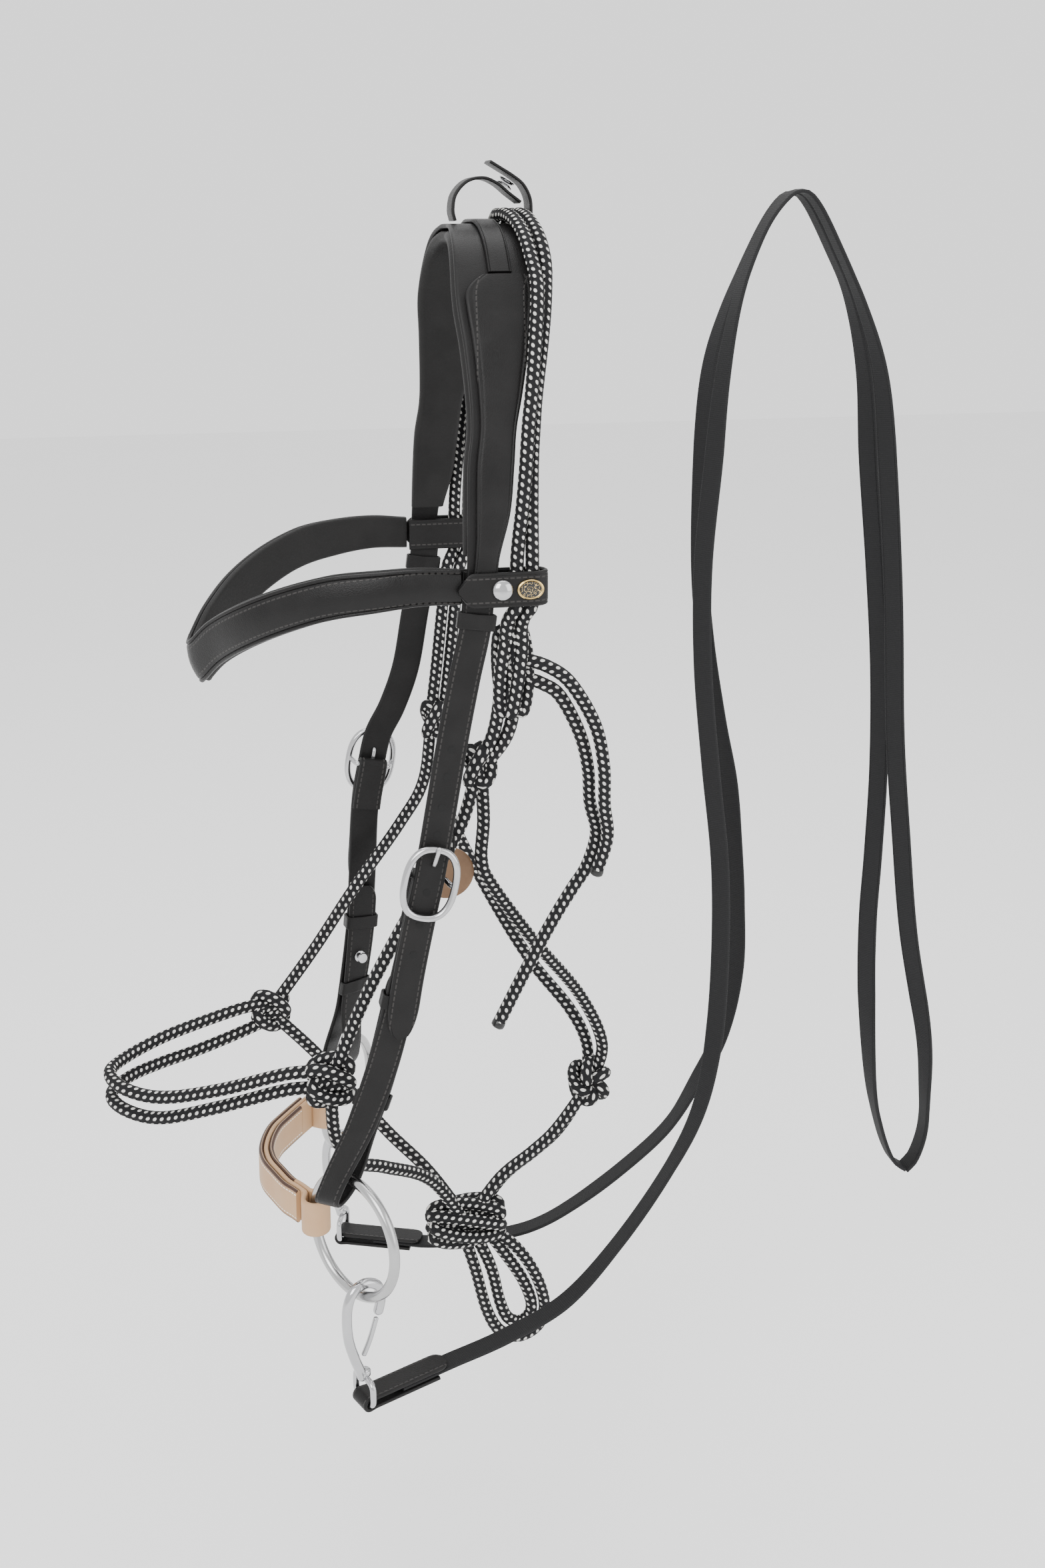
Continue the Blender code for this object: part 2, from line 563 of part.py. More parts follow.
# --- browband ---------------------------------------------------------------------------------
def make_browband():
    half = smooth(BROWBAND)
    sizes = smooth([(size, 0, 0) for size in BROWBAND_HALF])
    far = list(zip(half, sizes))
    whole = [(Vector((p.x, -p.y, p.z)), s) for p, s in far] + list(reversed(far))[1:]
    keep = whole[::5]
    if keep[-1] is not whole[-1]:
        keep.append(whole[-1])
    path = [p for p, _ in keep]
    along = directions(path)
    face, lining = [], []
    for (point, size), run in zip(keep, along):
        front = min(max((-point.x - 0.11) / 0.06, 0), 1)
        across = Vector((BROWBAND_LEAN * front, 0, -1)).normalized()
        out = across.cross(run).normalized()
        if out.x * -1 + out.y * math.copysign(1, point.y) * 0.2 < 0 and abs(point.y) < 0.08:
            out.negate()
        if abs(point.y) >= 0.08 and out.y * point.y < 0:
            out.negate()
        reach = across * size.x
        outer = point + out * (BROWBAND_FACE / 2 + GAP / 2)
        inner = point - out * (BROWBAND_LINING / 2 + GAP / 2)
        face.append((outer - reach, outer + reach))
        lining.append((inner - reach * 1.04, inner + reach * 1.04))
    for name, rows, thick, kind in (("browband_face", face, BROWBAND_FACE, "black_leather"),
                                    ("browband_lining", lining, BROWBAND_LINING, "soft_leather")):
        band = ribbon(name, rows, thick, kind)
        band.modifiers["leather"].use_even_offset = False


TAB_TIP = -0.0375
TAB_FOLD = 0.0045        # x where the fold's arc begins
TAB_Z = -0.1800
TAB_OUT = 0.0951         # outward place of the outer run
STUD_X = -0.0138


def make_tabs():
    radius = (TAB_ROOM + TAB_THICKNESS) / 2
    for side, sign in SIDES.items():
        path = [Vector((TAB_TIP, TAB_OUT, TAB_Z)), Vector((TAB_TIP + 0.003, TAB_OUT, TAB_Z)),
                Vector((TAB_TIP + 0.009, TAB_OUT, TAB_Z)), Vector((-0.016, TAB_OUT, TAB_Z))]
        for i in range(9):
            turn = math.pi * i / 8
            path.append(Vector((TAB_FOLD + radius * math.sin(turn),
                                TAB_OUT - radius + radius * math.cos(turn), TAB_Z)))
        path += [Vector((-0.016, TAB_OUT - 2 * radius, TAB_Z)),
                 Vector((-0.0345, TAB_OUT - 2 * radius, TAB_Z))]
        rows = []
        for i, point in enumerate(path):
            half = TAB_HEIGHT / 2 * (0.18, 0.62, 0.96)[i] if i < 3 else TAB_HEIGHT / 2
            place = Vector((point.x, sign * point.y, point.z))
            rows.append((place - Vector((0, 0, half)), place + Vector((0, 0, half))))
        ribbon("browband_tab_" + side, rows, TAB_THICKNESS, "black_leather")
        stud = turned("browband_stud_" + side,
                      [(0.0, 0.0026), (0.003, 0.0023), (0.0048, 0.0014), (STUD_DIAMETER / 2, 0.0),
                       (0.0, 0.0)], "chrome", 20)
        face = TAB_OUT + TAB_THICKNESS / 2 + GAP
        place_turned(stud, Vector((STUD_X, sign * face, TAB_Z)), Vector((0, sign, 0)))


BADGE_AT = (0.0012, -TAB_OUT - TAB_THICKNESS / 2 - GAP, TAB_Z)
BADGE_HALF = (0.00725, 0.0055, 0.0008)


def make_badge():
    bm = bmesh.new()
    bmesh.ops.create_cone(bm, cap_ends=True, segments=24, radius1=1.0, radius2=0.9, depth=2.0)
    badge = mesh_object("browband_badge", bm, "brass")
    badge.matrix_world = (Matrix.Translation(Vector(BADGE_AT) - Vector((0, BADGE_HALF[2], 0)))
                          @ Matrix.Rotation(math.pi / 2, 4, "X")
                          @ Matrix.Diagonal((*BADGE_HALF, 1)))


def turned(name, profile, kind, steps):
    """A turned piece about its own Z: profile of (radius, height), outer side top to bottom."""
    data = bpy.data.meshes.new(name)
    bm = bmesh.new()
    points = [bm.verts.new((r, 0, h)) for r, h in profile]
    for a, b in zip(points, points[1:]):
        bm.edges.new((a, b))
    bm.to_mesh(data)
    bm.free()
    item = add_object(name, data, kind)
    spin = item.modifiers.new("turn", "SCREW")
    spin.steps = steps
    spin.render_steps = steps
    spin.use_merge_vertices = True
    spin.merge_threshold = 1e-5
    spin.use_normal_calculate = True
    bpy.context.view_layer.update()
    graph = bpy.context.evaluated_depsgraph_get()
    mesh = bpy.data.meshes.new_from_object(item.evaluated_get(graph))
    item.modifiers.clear()
    item.data = mesh
    bm = bmesh.new()
    bm.from_mesh(mesh)
    bmesh.ops.remove_doubles(bm, verts=bm.verts, dist=1e-6)
    bmesh.ops.recalc_face_normals(bm, faces=bm.faces)
    bm.to_mesh(mesh)
    bm.free()
    return item


def place_turned(item, place, axis, spin=0.0):
    turn = Vector((0, 0, 1)).rotation_difference(axis.normalized())
    item.matrix_world = Matrix.Translation(place) @ turn.to_matrix().to_4x4() @ Matrix.Rotation(
        spin, 4, "Z")


# --- ring outlines, for strap keepers ----------------------------------------------------------
def keeper(name, frame, widths, lifts, kind="black_leather", length=KEEPER_WIDTH):
    """A flat loop round a strap: inside from -widths/2 to widths/2 across and lifts out."""
    point, along, out, across = frame
    low, high = lifts
    data = bpy.data.curves.new(name, "CURVE")
    data.dimensions = "2D"
    data.fill_mode = "BOTH"
    data.extrude = length / 2
    for grow in (KEEPER_THICKNESS, 0.0):
        x, lo, hi = widths / 2 + grow, low - grow, high + grow
        spline = data.splines.new("POLY")
        spline.points.add(3)
        for corner, (a, b) in zip(spline.points, ((-x, lo), (x, lo), (x, hi), (-x, hi))):
            corner.co = (a, b, 0, 1)
        spline.use_cyclic_u = True
    item = add_object(name, data, kind)
    item.matrix_world = Matrix.Translation(point) @ Matrix(
        ((across.x, out.x, along.x, 0), (across.y, out.y, along.y, 0),
         (across.z, out.z, along.z, 0), (0, 0, 0, 1)))
    return item


# --- cheeks -----------------------------------------------------------------------------------
def side_path(route, sign, step):
    return even(smooth([(x, sign * out, z) for x, out, z in route]), step)


def at_height(frames, z):
    """Frame on the strap at a height, read between its two neighbours."""
    i = 1
    while i < len(frames) - 1 and frames[i][0].z > z:
        i += 1
    a, b = frames[i - 1], frames[i]
    mix = (z - a[0].z) / (b[0].z - a[0].z)
    return (a[0].lerp(b[0], mix), *(a[k].lerp(b[k], mix).normalized() for k in (1, 2, 3)))


HOLES = {"near": (-0.268, -0.283, -0.300, -0.315, -0.331, -0.347, -0.365, -0.382),
         "far": (-0.250, -0.266, -0.282, -0.298, -0.3172, -0.335, -0.352, -0.369)}
KEEPER_Z = -0.1985       # the keepers under the browband's tabs


def make_billets():
    for side, sign in SIDES.items():
        path = side_path(BILLET[side], sign, 0.0115)
        frames = strap_frames(path, Vector((0, sign, 0)))
        halves = [STRAP_WIDTH / 2] * len(frames)
        halves[-3:] = [STRAP_WIDTH / 2 * k for k in (0.97, 0.80, 0.30)]
        strap = ribbon("cheek_billet_" + side, strap_rows(frames, halves), BILLET_THICKNESS,
                       "black_leather")
        strap.modifiers["leather"].use_even_offset = False
        bm = bmesh.new()
        for z in HOLES[side]:
            point, _, out, _ = at_height(frames, z)
            spot = Matrix.Translation(point) @ Vector((0, 0, 1)).rotation_difference(
                out).to_matrix().to_4x4()
            bmesh.ops.create_cone(bm, cap_ends=True, segments=8, radius1=HOLE_DIAMETER / 2,
                                  radius2=HOLE_DIAMETER / 2, depth=0.010, matrix=spot)
        punch = mesh_object("holes_" + side, bm, "black_leather")
        boolean(strap, punch, "DIFFERENCE")
        keeper("headpiece_keeper_" + side, at_height(frames, KEEPER_Z), STRAP_WIDTH + 2 * GAP,
               (-BILLET_THICKNESS / 2 - GAP, BILLET_THICKNESS / 2 + GAP))


class StrapLine:
    """A strap's middle line: place(s, q) is s along it and q outwards, past its ends too."""

    def __init__(self, frames):
        self.frames = frames
        self.step = (frames[1][0] - frames[0][0]).length
        self.length = self.step * (len(frames) - 1)

    def frame(self, s):
        i = min(max(int(s / self.step), 0), len(self.frames) - 2)
        t = s / self.step - i
        a, b = self.frames[i], self.frames[i + 1]
        mix = min(max(t, 0), 1)
        along, out, across = (a[k].lerp(b[k], mix).normalized() for k in (1, 2, 3))
        point = a[0].lerp(b[0], mix) + along * (t - mix) * self.step
        return point, along, out, across

    def place(self, s, q, w=0.0):
        point, _, out, across = self.frame(s)
        return point + out * q + across * w


def cheek_frames(side, sign):
    """Frames from the buckle's bar to the ring, turning to lie along the ring's wire."""
    hold = Vector((RING_HOLD[0], sign * RING_HOLD[1], RING_HOLD[2])).normalized()
    frames = strap_frames(side_path(CHEEK[side], sign, 0.009), Vector((0, sign, 0)))
    last = len(frames) - 1
    for i, (point, along, out, across) in enumerate(frames):
        turn = max(0.0, (i / last - TURN_START) / (1 - TURN_START)) ** 1.3
        across = across.lerp(hold, turn).normalized()
        out = (out - along * out.dot(along) - across * out.dot(across)).normalized()
        frames[i] = (point, along, out, across)
    return frames


CHEEK_OUT = BAR_WIRE / 2 + GAP + CHEEK_THICKNESS / 2      # outer run, from the bar's middle
CHEEK_IN = CHEEK_OUT - CHEEK_THICKNESS - KEEPER_THICKNESS - 2 * KEEPER_PLAY
LOOP_ROOM = 0.0080       # half the inside width of the loop that holds the ring
LOOP_DROP = 0.0054       # from the ring's wire to the middle of that loop
RETURN_END = 0.028
INNER_TIP = {"near": 0.055, "far": 0.080}
FLARE = 0.042            # length over which the two runs part towards the ring


def arc(centre, radius, first, last, count):
    """(s, q) points; an angle of 0 points outwards, and a quarter turn points down the strap."""
    return [(centre + radius * math.sin(first + (last - first) * i / count),
             radius * math.cos(first + (last - first) * i / count)) for i in range(count + 1)]


def make_cheeks():
    for side, sign in SIDES.items():
        line = StrapLine(cheek_frames(side, sign))
        ring_loop = LOOP_ROOM + CHEEK_THICKNESS / 2
        middle = line.length + LOOP_DROP
        start = middle - FLARE
        profile = [(RETURN_END, -CHEEK_OUT), (RETURN_END / 2, -CHEEK_OUT)]
        profile += arc(0, CHEEK_OUT, -math.pi, 0, 6)
        runs = round(start / 0.012)
        profile += [(start * i / runs, CHEEK_OUT) for i in range(1, runs + 1)]
        for i in range(1, 4):
            ease = 0.5 - 0.5 * math.cos(math.pi * i / 4)
            profile.append((start + FLARE * i / 4, CHEEK_OUT + (ring_loop - CHEEK_OUT) * ease))
        profile += arc(middle, ring_loop, 0, math.pi, 8)
        for i in range(3, 0, -1):
            ease = 0.5 - 0.5 * math.cos(math.pi * i / 4)
            profile.append((start + FLARE * i / 4, CHEEK_IN - (ring_loop + CHEEK_IN) * ease))
        tip = INNER_TIP[side]
        runs = round((start - tip) / 0.012)
        profile += [(start + (tip - start) * i / runs, CHEEK_IN) for i in range(runs + 1)]
        rows = []
        for i, (s, q) in enumerate(profile):
            last = len(profile) - 1 - i
            half = STRAP_WIDTH / 2 * (0.4 if last == 0 else 1)
            rows.append((line.place(s, q, -half), line.place(s, q, half)))
        strap = ribbon("cheek_strap_" + side, rows, CHEEK_THICKNESS, "black_leather")
        strap.modifiers["leather"].use_even_offset = False
        make_buckle(side, line, strap)


TONGUE_RISE = 0.0098     # from the bar to the hole in use
BILLET_INNER = CHEEK_OUT + CHEEK_THICKNESS / 2 + 3 * GAP
FRAME_LIFT = BILLET_INNER + BILLET_THICKNESS + 2 * GAP + BUCKLE_WIRE / 2


def make_buckle(side, line, strap):
    long_half = (BUCKLE_LENGTH - BUCKLE_WIRE) / 2
    wide_half = (BUCKLE_WIDTH - BUCKLE_WIRE) / 2
    point, along, out, across = line.frame(0)

    def at(s, q, w=0.0):
        return point + along * s + out * q + across * w

    outline = []
    for i in range(24):
        turn = 2 * math.pi * i / 24
        c, s = math.cos(turn), math.sin(turn)
        outline.append(at(long_half * math.copysign(abs(c) ** 0.8, c), FRAME_LIFT,
                          wide_half * math.copysign(abs(s) ** 0.8, s)))
    frame = as_mesh(tube("buckle_frame_" + side, [outline], BUCKLE_WIRE, "chrome", closed=True))
    leg = wide_half - BUCKLE_WIRE / 2 - BAR_WIRE / 2 + 0.0008
    half_bar = [(wide_half, FRAME_LIFT), (leg + 0.0008, FRAME_LIFT * 0.72), (leg, FRAME_LIFT * 0.35),
                (leg - 0.0008, 0.0008), (leg - 0.0030, 0.0)]
    bar_path = [at(0, q, w) for w, q in half_bar] + [at(0, q, -w) for w, q in reversed(half_bar)]
    bar = as_mesh(tube("bar_" + side, [bar_path], BAR_WIRE, "chrome"))
    boolean(frame, bar, "UNION")
    over = FRAME_LIFT + BUCKLE_WIRE / 2 + GAP + TONGUE_WIRE / 2
    root = BAR_WIRE / 2 + GAP + TONGUE_WIRE / 2
    rise = TONGUE_RISE
    pin = [(0.0, root), (-0.0045, root), (-rise + 0.0012, root + 0.0003), (-rise + 0.0001, root + 0.0014),
           (-rise - 0.0001, FRAME_LIFT - 0.0022), (-rise - 0.0016, FRAME_LIFT + 0.0004),
           (-long_half + 0.0035, over - 0.0012), (-long_half, over), (-long_half - 0.0030, over)]
    tube("buckle_tongue_" + side, [[at(s, q) for s, q in pin]], TONGUE_WIRE, "chrome")
    bm = bmesh.new()
    size = Matrix.Diagonal((0.0045, 0.0100, 0.0105, 1))
    turn = Matrix(((across.x, out.x, along.x, 0), (across.y, out.y, along.y, 0),
                   (across.z, out.z, along.z, 0), (0, 0, 0, 1)))
    spot = Matrix.Translation(at(-0.0015, 0.0045)) @ turn @ size
    bmesh.ops.create_cube(bm, size=1.0, matrix=spot)
    slot = mesh_object("tongue_slot_" + side, bm, "black_leather")
    boolean(strap, slot, "DIFFERENCE")


def ring_axes(side):
    sign = SIDES[side]
    across = Vector((math.cos(RING_YAW), sign * math.sin(RING_YAW), 0))
    normal = Vector((-math.sin(RING_YAW), sign * math.cos(RING_YAW), 0))
    return across, normal


def ring_point(side, angle, reach=0.0):
    across, _ = ring_axes(side)
    radius = RING_DIAMETER / 2 + reach
    return (Vector(RING_CENTRE[side])
            + (across * math.sin(angle) + Vector((0, 0, 1)) * math.cos(angle)) * radius)


def make_rings():
    for side in SIDES:
        _, normal = ring_axes(side)
        turn = Vector((0, 0, 1)).rotation_difference(normal)
        bpy.ops.mesh.primitive_torus_add(major_segments=40, minor_segments=8,
                                         major_radius=RING_DIAMETER / 2,
                                         minor_radius=RING_WIRE / 2,
                                         location=RING_CENTRE[side], rotation=turn.to_euler())
        ring = bpy.context.object
        ring.name = "ring_" + side
        for group in list(ring.users_collection):
            group.objects.unlink(ring)
        bpy.data.collections[COLLECTION].objects.link(ring)
        ring.data.materials.append(material("steel", ring.name))
        ring.data.shade_smooth()


# --- noseband -----------------------------------------------------------------------------------
NOSE_INSET = 0.003       # from the strap's bend to the end of the outer panel
NOSE_LOOP = 0.0069       # radius of the middle of the leather round a ring
NOSE_RETURN = 0.0135     # length of the returned end inside the band
NOSE_SAG = 0.0010        # the wire's middle lies this far inside its foremost point
NOSE_STEP = 0.0095
NOSE_PLY = NOSE_LAYER + GAP


def nose_line():
    path = even(smooth(NOSEBAND), NOSE_STEP)
    frames = []
    for point, along in zip(path, directions(path)):
        up = Vector((0, 0, 1))
        up = (up - along * up.z).normalized()
        frames.append((point, along, up.cross(along), up))
    return StrapLine(frames)


def ring_turn(start, back, wire):
    """Points of leather that leaves start, turns round a ring's wire and comes back to back."""
    away = (wire - start.lerp(back, 0.5)).normalized()
    aside = start - back
    aside = (aside - away * away.dot(aside)).normalized()
    ends = []
    for place, sign in ((start, 1), (back, -1)):
        reach = place - wire
        bearing = math.atan2(reach.dot(aside), reach.dot(away))
        ends.append(bearing - sign * math.acos(min(1, NOSE_LOOP / reach.length)))
    turns = [ends[0] + (ends[1] - ends[0]) * i / 12 for i in range(13)]
    return [wire + (away * math.cos(t) + aside * math.sin(t)) * NOSE_LOOP for t in turns]


def make_noseband():
    line = nose_line()
    end = line.length
    inner = -NOSE_PLY

    def band(name, points):
        rows = [(p - Vector((0, 0, NOSE_HEIGHT / 2)), p + Vector((0, 0, NOSE_HEIGHT / 2)))
                for p in points]
        strap = ribbon(name, rows, NOSE_LAYER, "tan_leather")
        strap.modifiers["leather"].use_even_offset = False

    def turned_end(side, s):
        wire = ring_point(side, -math.pi / 2, -NOSE_SAG)
        wire.z = line.place(s, 0).z
        return ring_turn(line.place(s, 0), line.place(s, inner), wire)

    count = round(end / NOSE_STEP)
    middle = [end * i / count for i in range(count + 1)]
    strap = [line.place(s, inner) for s in (NOSE_RETURN, NOSE_RETURN / 2, 0)]
    strap += list(reversed(turned_end("near", 0)))
    strap += [line.place(s, 0) for s in middle] + turned_end("far", end)
    strap += [line.place(end - s, inner) for s in (0, NOSE_RETURN / 2, NOSE_RETURN)]
    band("noseband_strap", strap)
    outside = [NOSE_INSET] + middle[1:-1] + [end - NOSE_INSET]
    band("noseband_panel", [line.place(s, NOSE_PLY) for s in outside])
    inside = [NOSE_RETURN + GAP] + middle[2:-2] + [end - NOSE_RETURN - GAP]
    band("noseband_lining", [line.place(s, inner) for s in inside])


# --- snaps and reins ------------------------------------------------------------------------------
HOOK = [(0.0090, -0.0150), (0.0112, -0.0060), (0.0092, 0.0028), (0.0020, 0.0069),
        (-0.0056, 0.0052), (-0.0096, -0.0020), (-0.0106, -0.0120), (-0.0096, -0.0240),
        (-0.0062, -0.0360), (-0.0028, -0.0450), (-0.0008, -0.0515)]
GATE = [(-0.0006, -0.0370), (0.0040, -0.0280), (0.0084, -0.0160)]
EYE_TOP = -0.0500
EYE_BOTTOM = -0.0640
EYE_HALF = 0.0095
SNAP_TURN = math.radians(22.6)   # the hook's plane, from the line of the horse
END_WIDTH = 0.0145
END_LENGTH = 0.0530
WEBBING_START = (0.0220, 0.0400, 0.0575)   # the webbing's first points, from the eye


def snap_axes(side):
    sign = SIDES[side]
    return (Vector((math.cos(SNAP_TURN), -sign * math.sin(SNAP_TURN), 0)),
            Vector((math.sin(SNAP_TURN), sign * math.cos(SNAP_TURN), 0)), Vector((0, 0, 1)))


def make_snaps():
    for side in SIDES:
        origin = ring_point(side, SNAP_ANGLE[side])
        fore, flank, up = snap_axes(side)

        def at(x, z, y=0.0):
            return origin + fore * x + up * z + flank * y

        hook_path = smooth([(x, 0, z) for x, z in HOOK])[::4]
        if (hook_path[-1] - Vector((HOOK[-1][0], 0, HOOK[-1][1]))).length > 1e-6:
            hook_path.append(Vector((HOOK[-1][0], 0, HOOK[-1][1])))
        hook = as_mesh(tube("snap_body_" + side, [[at(p.x, p.z) for p in hook_path]], SNAP_WIRE,
                            "chrome"))
        corner = 0.0025
        outline = []
        for sy, sz, first in ((1, EYE_BOTTOM, 0), (-1, EYE_BOTTOM, 1), (-1, EYE_TOP, 2),
                              (1, EYE_TOP, 3)):
            cy = sy * (EYE_HALF - corner)
            cz = sz + corner * (1 if sz == EYE_BOTTOM else -1)
            for k in range(3):
                turn = -math.pi / 2 * first - math.pi / 4 * k
                outline.append(at(0, cz + corner * math.sin(turn), cy + corner * math.cos(turn)))
        eye = as_mesh(tube("eye_" + side, [outline], EYE_WIRE, "chrome", closed=True))
        boolean(hook, eye, "UNION")
        tube("snap_gate_" + side, [[at(x, z) for x, z in GATE]], GATE_WIRE, "chrome")
        radius = EYE_WIRE / 2 + GAP + REIN_LEATHER / 2
        leg = REIN_THICKNESS / 2 + GAP + REIN_LEATHER / 2
        profile = [(END_LENGTH, leg), (END_LENGTH - 0.008, leg), (0.030, leg), (0.018, leg),
                   (0.008, leg)]
        profile += [(-radius * math.sin(math.pi * i / 8), radius * math.cos(math.pi * i / 8))
                    for i in range(9)]
        profile += [(0.008, -leg), (0.018, -leg), (0.030, -leg), (END_LENGTH - 0.010, -leg)]
        rows = []
        for i, (x, z) in enumerate(profile):
            half = END_WIDTH / 2 * (0.45 if i == 0 else 1)
            rows.append((at(x, EYE_BOTTOM + z, -half), at(x, EYE_BOTTOM + z, half)))
        ribbon("rein_end_" + side, rows, REIN_LEATHER, "black_leather")


REIN_TWIST = math.radians(36)


def make_reins():
    for side in SIDES:
        fore, flank, up = snap_axes(side)
        eye = ring_point(side, SNAP_ANGLE[side]) + up * EYE_BOTTOM
        path = even(smooth([eye + fore * x for x in WEBBING_START] + REINS[side]), REIN_STEP)
        if flank.y < 0:
            flank = -flank
        rows = []
        for i, (point, along) in enumerate(zip(path, directions(path))):
            hang = min(max((-0.02 - point.z) / 0.10, 0), 1) * min(max((point.z + 0.56) / 0.08, 0), 1)
            wide = Vector((-math.sin(REIN_TWIST * hang), math.cos(REIN_TWIST * hang), 0))
            wide = flank.lerp(wide, min(max((i - 2) / 4, 0), 1))
            wide = (wide - along * wide.dot(along)).normalized() * REIN_WIDTH / 2
            rows.append((point - wide, point + wide))
        band = ribbon("rein_" + side, rows, REIN_THICKNESS, "webbing")
        band.modifiers["leather"].use_even_offset = False


# --- rope halter ------------------------------------------------------------------------------------
def crown_route(table, shift):
    near = [arch_at(-row[0], row[1]) + Vector((row[2], 0, 0)) for row in reversed(table)]
    far = [arch_at(row[0], row[1]) + Vector((row[2], 0, 0)) for row in table[1:]]
    drop = [Vector(p) + Vector((shift, 0, 0)) for p in CROWN_NEAR_TAIL]
    tail = [Vector(p) + Vector((shift, 0, 0)) for p in CROWN_FAR_TAIL]
    return list(reversed(drop)) + near + far + tail


def make_ropes():
    spread = ROPE_DIAMETER / 2 + GAP
    rope("rope_crown_front", crown_route(STRAND_FRONT, -spread), CROWN_STEP)
    rope("rope_crown_rear", crown_route(STRAND_REAR, spread), CROWN_STEP)
    for name, route in ROPES.items():
        rope(name, route, TIGHT_STEP if "tail" in name else ROPE_STEP)
    for name, (centre, half) in KNOTS.items():
        bm = bmesh.new()
        bmesh.ops.create_uvsphere(bm, u_segments=12, v_segments=8, radius=1.0,
                                  matrix=Matrix.Translation(centre) @ Matrix.Diagonal((*half, 1)))
        knot = mesh_object(name, bm, "rope")
        for strand, (owner, route) in JOINED.items():
            if owner == name:
                boolean(knot, as_mesh(rope(strand, route, TIGHT_STEP, name)), "UNION")


# --- hanging tag ---------------------------------------------------------------------------------------
TAG_PIVOT = (-0.0365, -0.0525, -0.3390)
TAG_DROP = 0.0125        # from the hole to the middle of the disc
TAG_HOLE = 0.0036


def make_tag():
    bm = bmesh.new()
    turn = Matrix.Rotation(math.pi / 2, 4, "X")
    bmesh.ops.create_cone(bm, cap_ends=True, segments=32, radius1=TAG_DIAMETER / 2,
                          radius2=TAG_DIAMETER / 2, depth=TAG_THICKNESS,
                          matrix=Matrix.Translation((0, 0, -TAG_DROP)) @ turn)
    tag = mesh_object("leather_tag", bm, "tag_leather")
    tag.location = TAG_PIVOT
    bm = bmesh.new()
    bmesh.ops.create_cone(bm, cap_ends=True, segments=10, radius1=TAG_HOLE / 2,
                          radius2=TAG_HOLE / 2,
                          depth=0.008, matrix=turn)
    hole = mesh_object("tag_hole", bm, "tag_leather")
    hole.location = TAG_PIVOT
    boolean(tag, hole, "DIFFERENCE")


def main():
    clear_scene()
    make_headpiece()
    make_rope_keeper()
    make_browband()
    make_tabs()
    make_badge()
    make_billets()
    make_cheeks()
    make_rings()
    make_noseband()
    make_snaps()
    make_reins()
    make_ropes()
    make_tag()


main()
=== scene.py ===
import json
import math

import bmesh
import bpy
import numpy as np
from bpy.props import FloatProperty, FloatVectorProperty, PointerProperty
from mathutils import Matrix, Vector

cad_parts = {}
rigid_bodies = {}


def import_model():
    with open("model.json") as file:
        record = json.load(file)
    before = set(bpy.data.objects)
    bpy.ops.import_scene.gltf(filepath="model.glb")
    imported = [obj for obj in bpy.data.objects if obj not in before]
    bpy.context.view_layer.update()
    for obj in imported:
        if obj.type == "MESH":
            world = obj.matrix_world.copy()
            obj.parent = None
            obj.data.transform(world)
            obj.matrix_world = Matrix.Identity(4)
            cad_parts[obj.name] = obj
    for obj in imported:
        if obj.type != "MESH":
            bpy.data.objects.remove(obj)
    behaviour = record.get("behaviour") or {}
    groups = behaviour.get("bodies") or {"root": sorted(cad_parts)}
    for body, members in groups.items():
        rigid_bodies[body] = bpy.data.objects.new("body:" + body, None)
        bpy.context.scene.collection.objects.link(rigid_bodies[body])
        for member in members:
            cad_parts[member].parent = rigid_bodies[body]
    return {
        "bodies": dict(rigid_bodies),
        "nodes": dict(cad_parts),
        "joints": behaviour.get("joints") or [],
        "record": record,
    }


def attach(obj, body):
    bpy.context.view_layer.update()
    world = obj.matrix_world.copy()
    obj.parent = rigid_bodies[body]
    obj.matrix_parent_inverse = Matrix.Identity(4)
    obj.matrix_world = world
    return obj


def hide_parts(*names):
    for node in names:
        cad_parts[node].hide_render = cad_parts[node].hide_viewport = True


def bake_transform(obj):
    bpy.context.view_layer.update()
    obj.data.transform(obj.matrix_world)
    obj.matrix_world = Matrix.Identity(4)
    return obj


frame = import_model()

bl_info = {
    "name": "Rope Halter Maker",
    "version": (1, 0, 0),
    "blender": (4, 5, 0),
    "location": "View3D > Sidebar > Halter",
    "description": "Makes the leather, rope and fittings of a rope halter with reins",
    "category": "Add Mesh",
}

GAP = 0.0003
SIDES = {"near": -1, "far": 1}

# --- the courses of the straps and ropes, as in the solid model -------------------------
ARCH = [(0.012, 0), (0.026, -0.004), (0.0375, -0.0125), (0.0505, -0.0315), (0.0598, -0.0535),
        (0.0675, -0.0805), (0.0742, -0.117), (0.0771, -0.1415), (0.079, -0.1655), (0.0795, -0.2)]
CROWN_EDGES = [(0, -0.025, 0.017), (0.03, -0.0285, 0.0155), (0.064, -0.031, 0.0115),
               (0.09, -0.029, 0.0065), (0.116, -0.0275, 0.001), (0.134, -0.0275, -0.003),
               (0.153, -0.030, -0.005), (0.178, -0.031, -0.008), (0.202, -0.0315, -0.0145),
               (0.222, -0.0325, -0.0155)]
BROWBAND = [(-0.0355, 0.0880, -0.179), (-0.057, 0.0888, -0.178), (-0.080, 0.0866, -0.180),
            (-0.104, 0.078, -0.184), (-0.127, 0.0625, -0.193), (-0.146, 0.043, -0.2045),
            (-0.160, 0.021, -0.2175), (-0.1685, 0.006, -0.2300), (-0.1700, 0.0, -0.2330)]
BROWBAND_HALF = [0.0092, 0.0100, 0.0110, 0.0118, 0.0122, 0.0125, 0.0127, 0.0130, 0.0130]
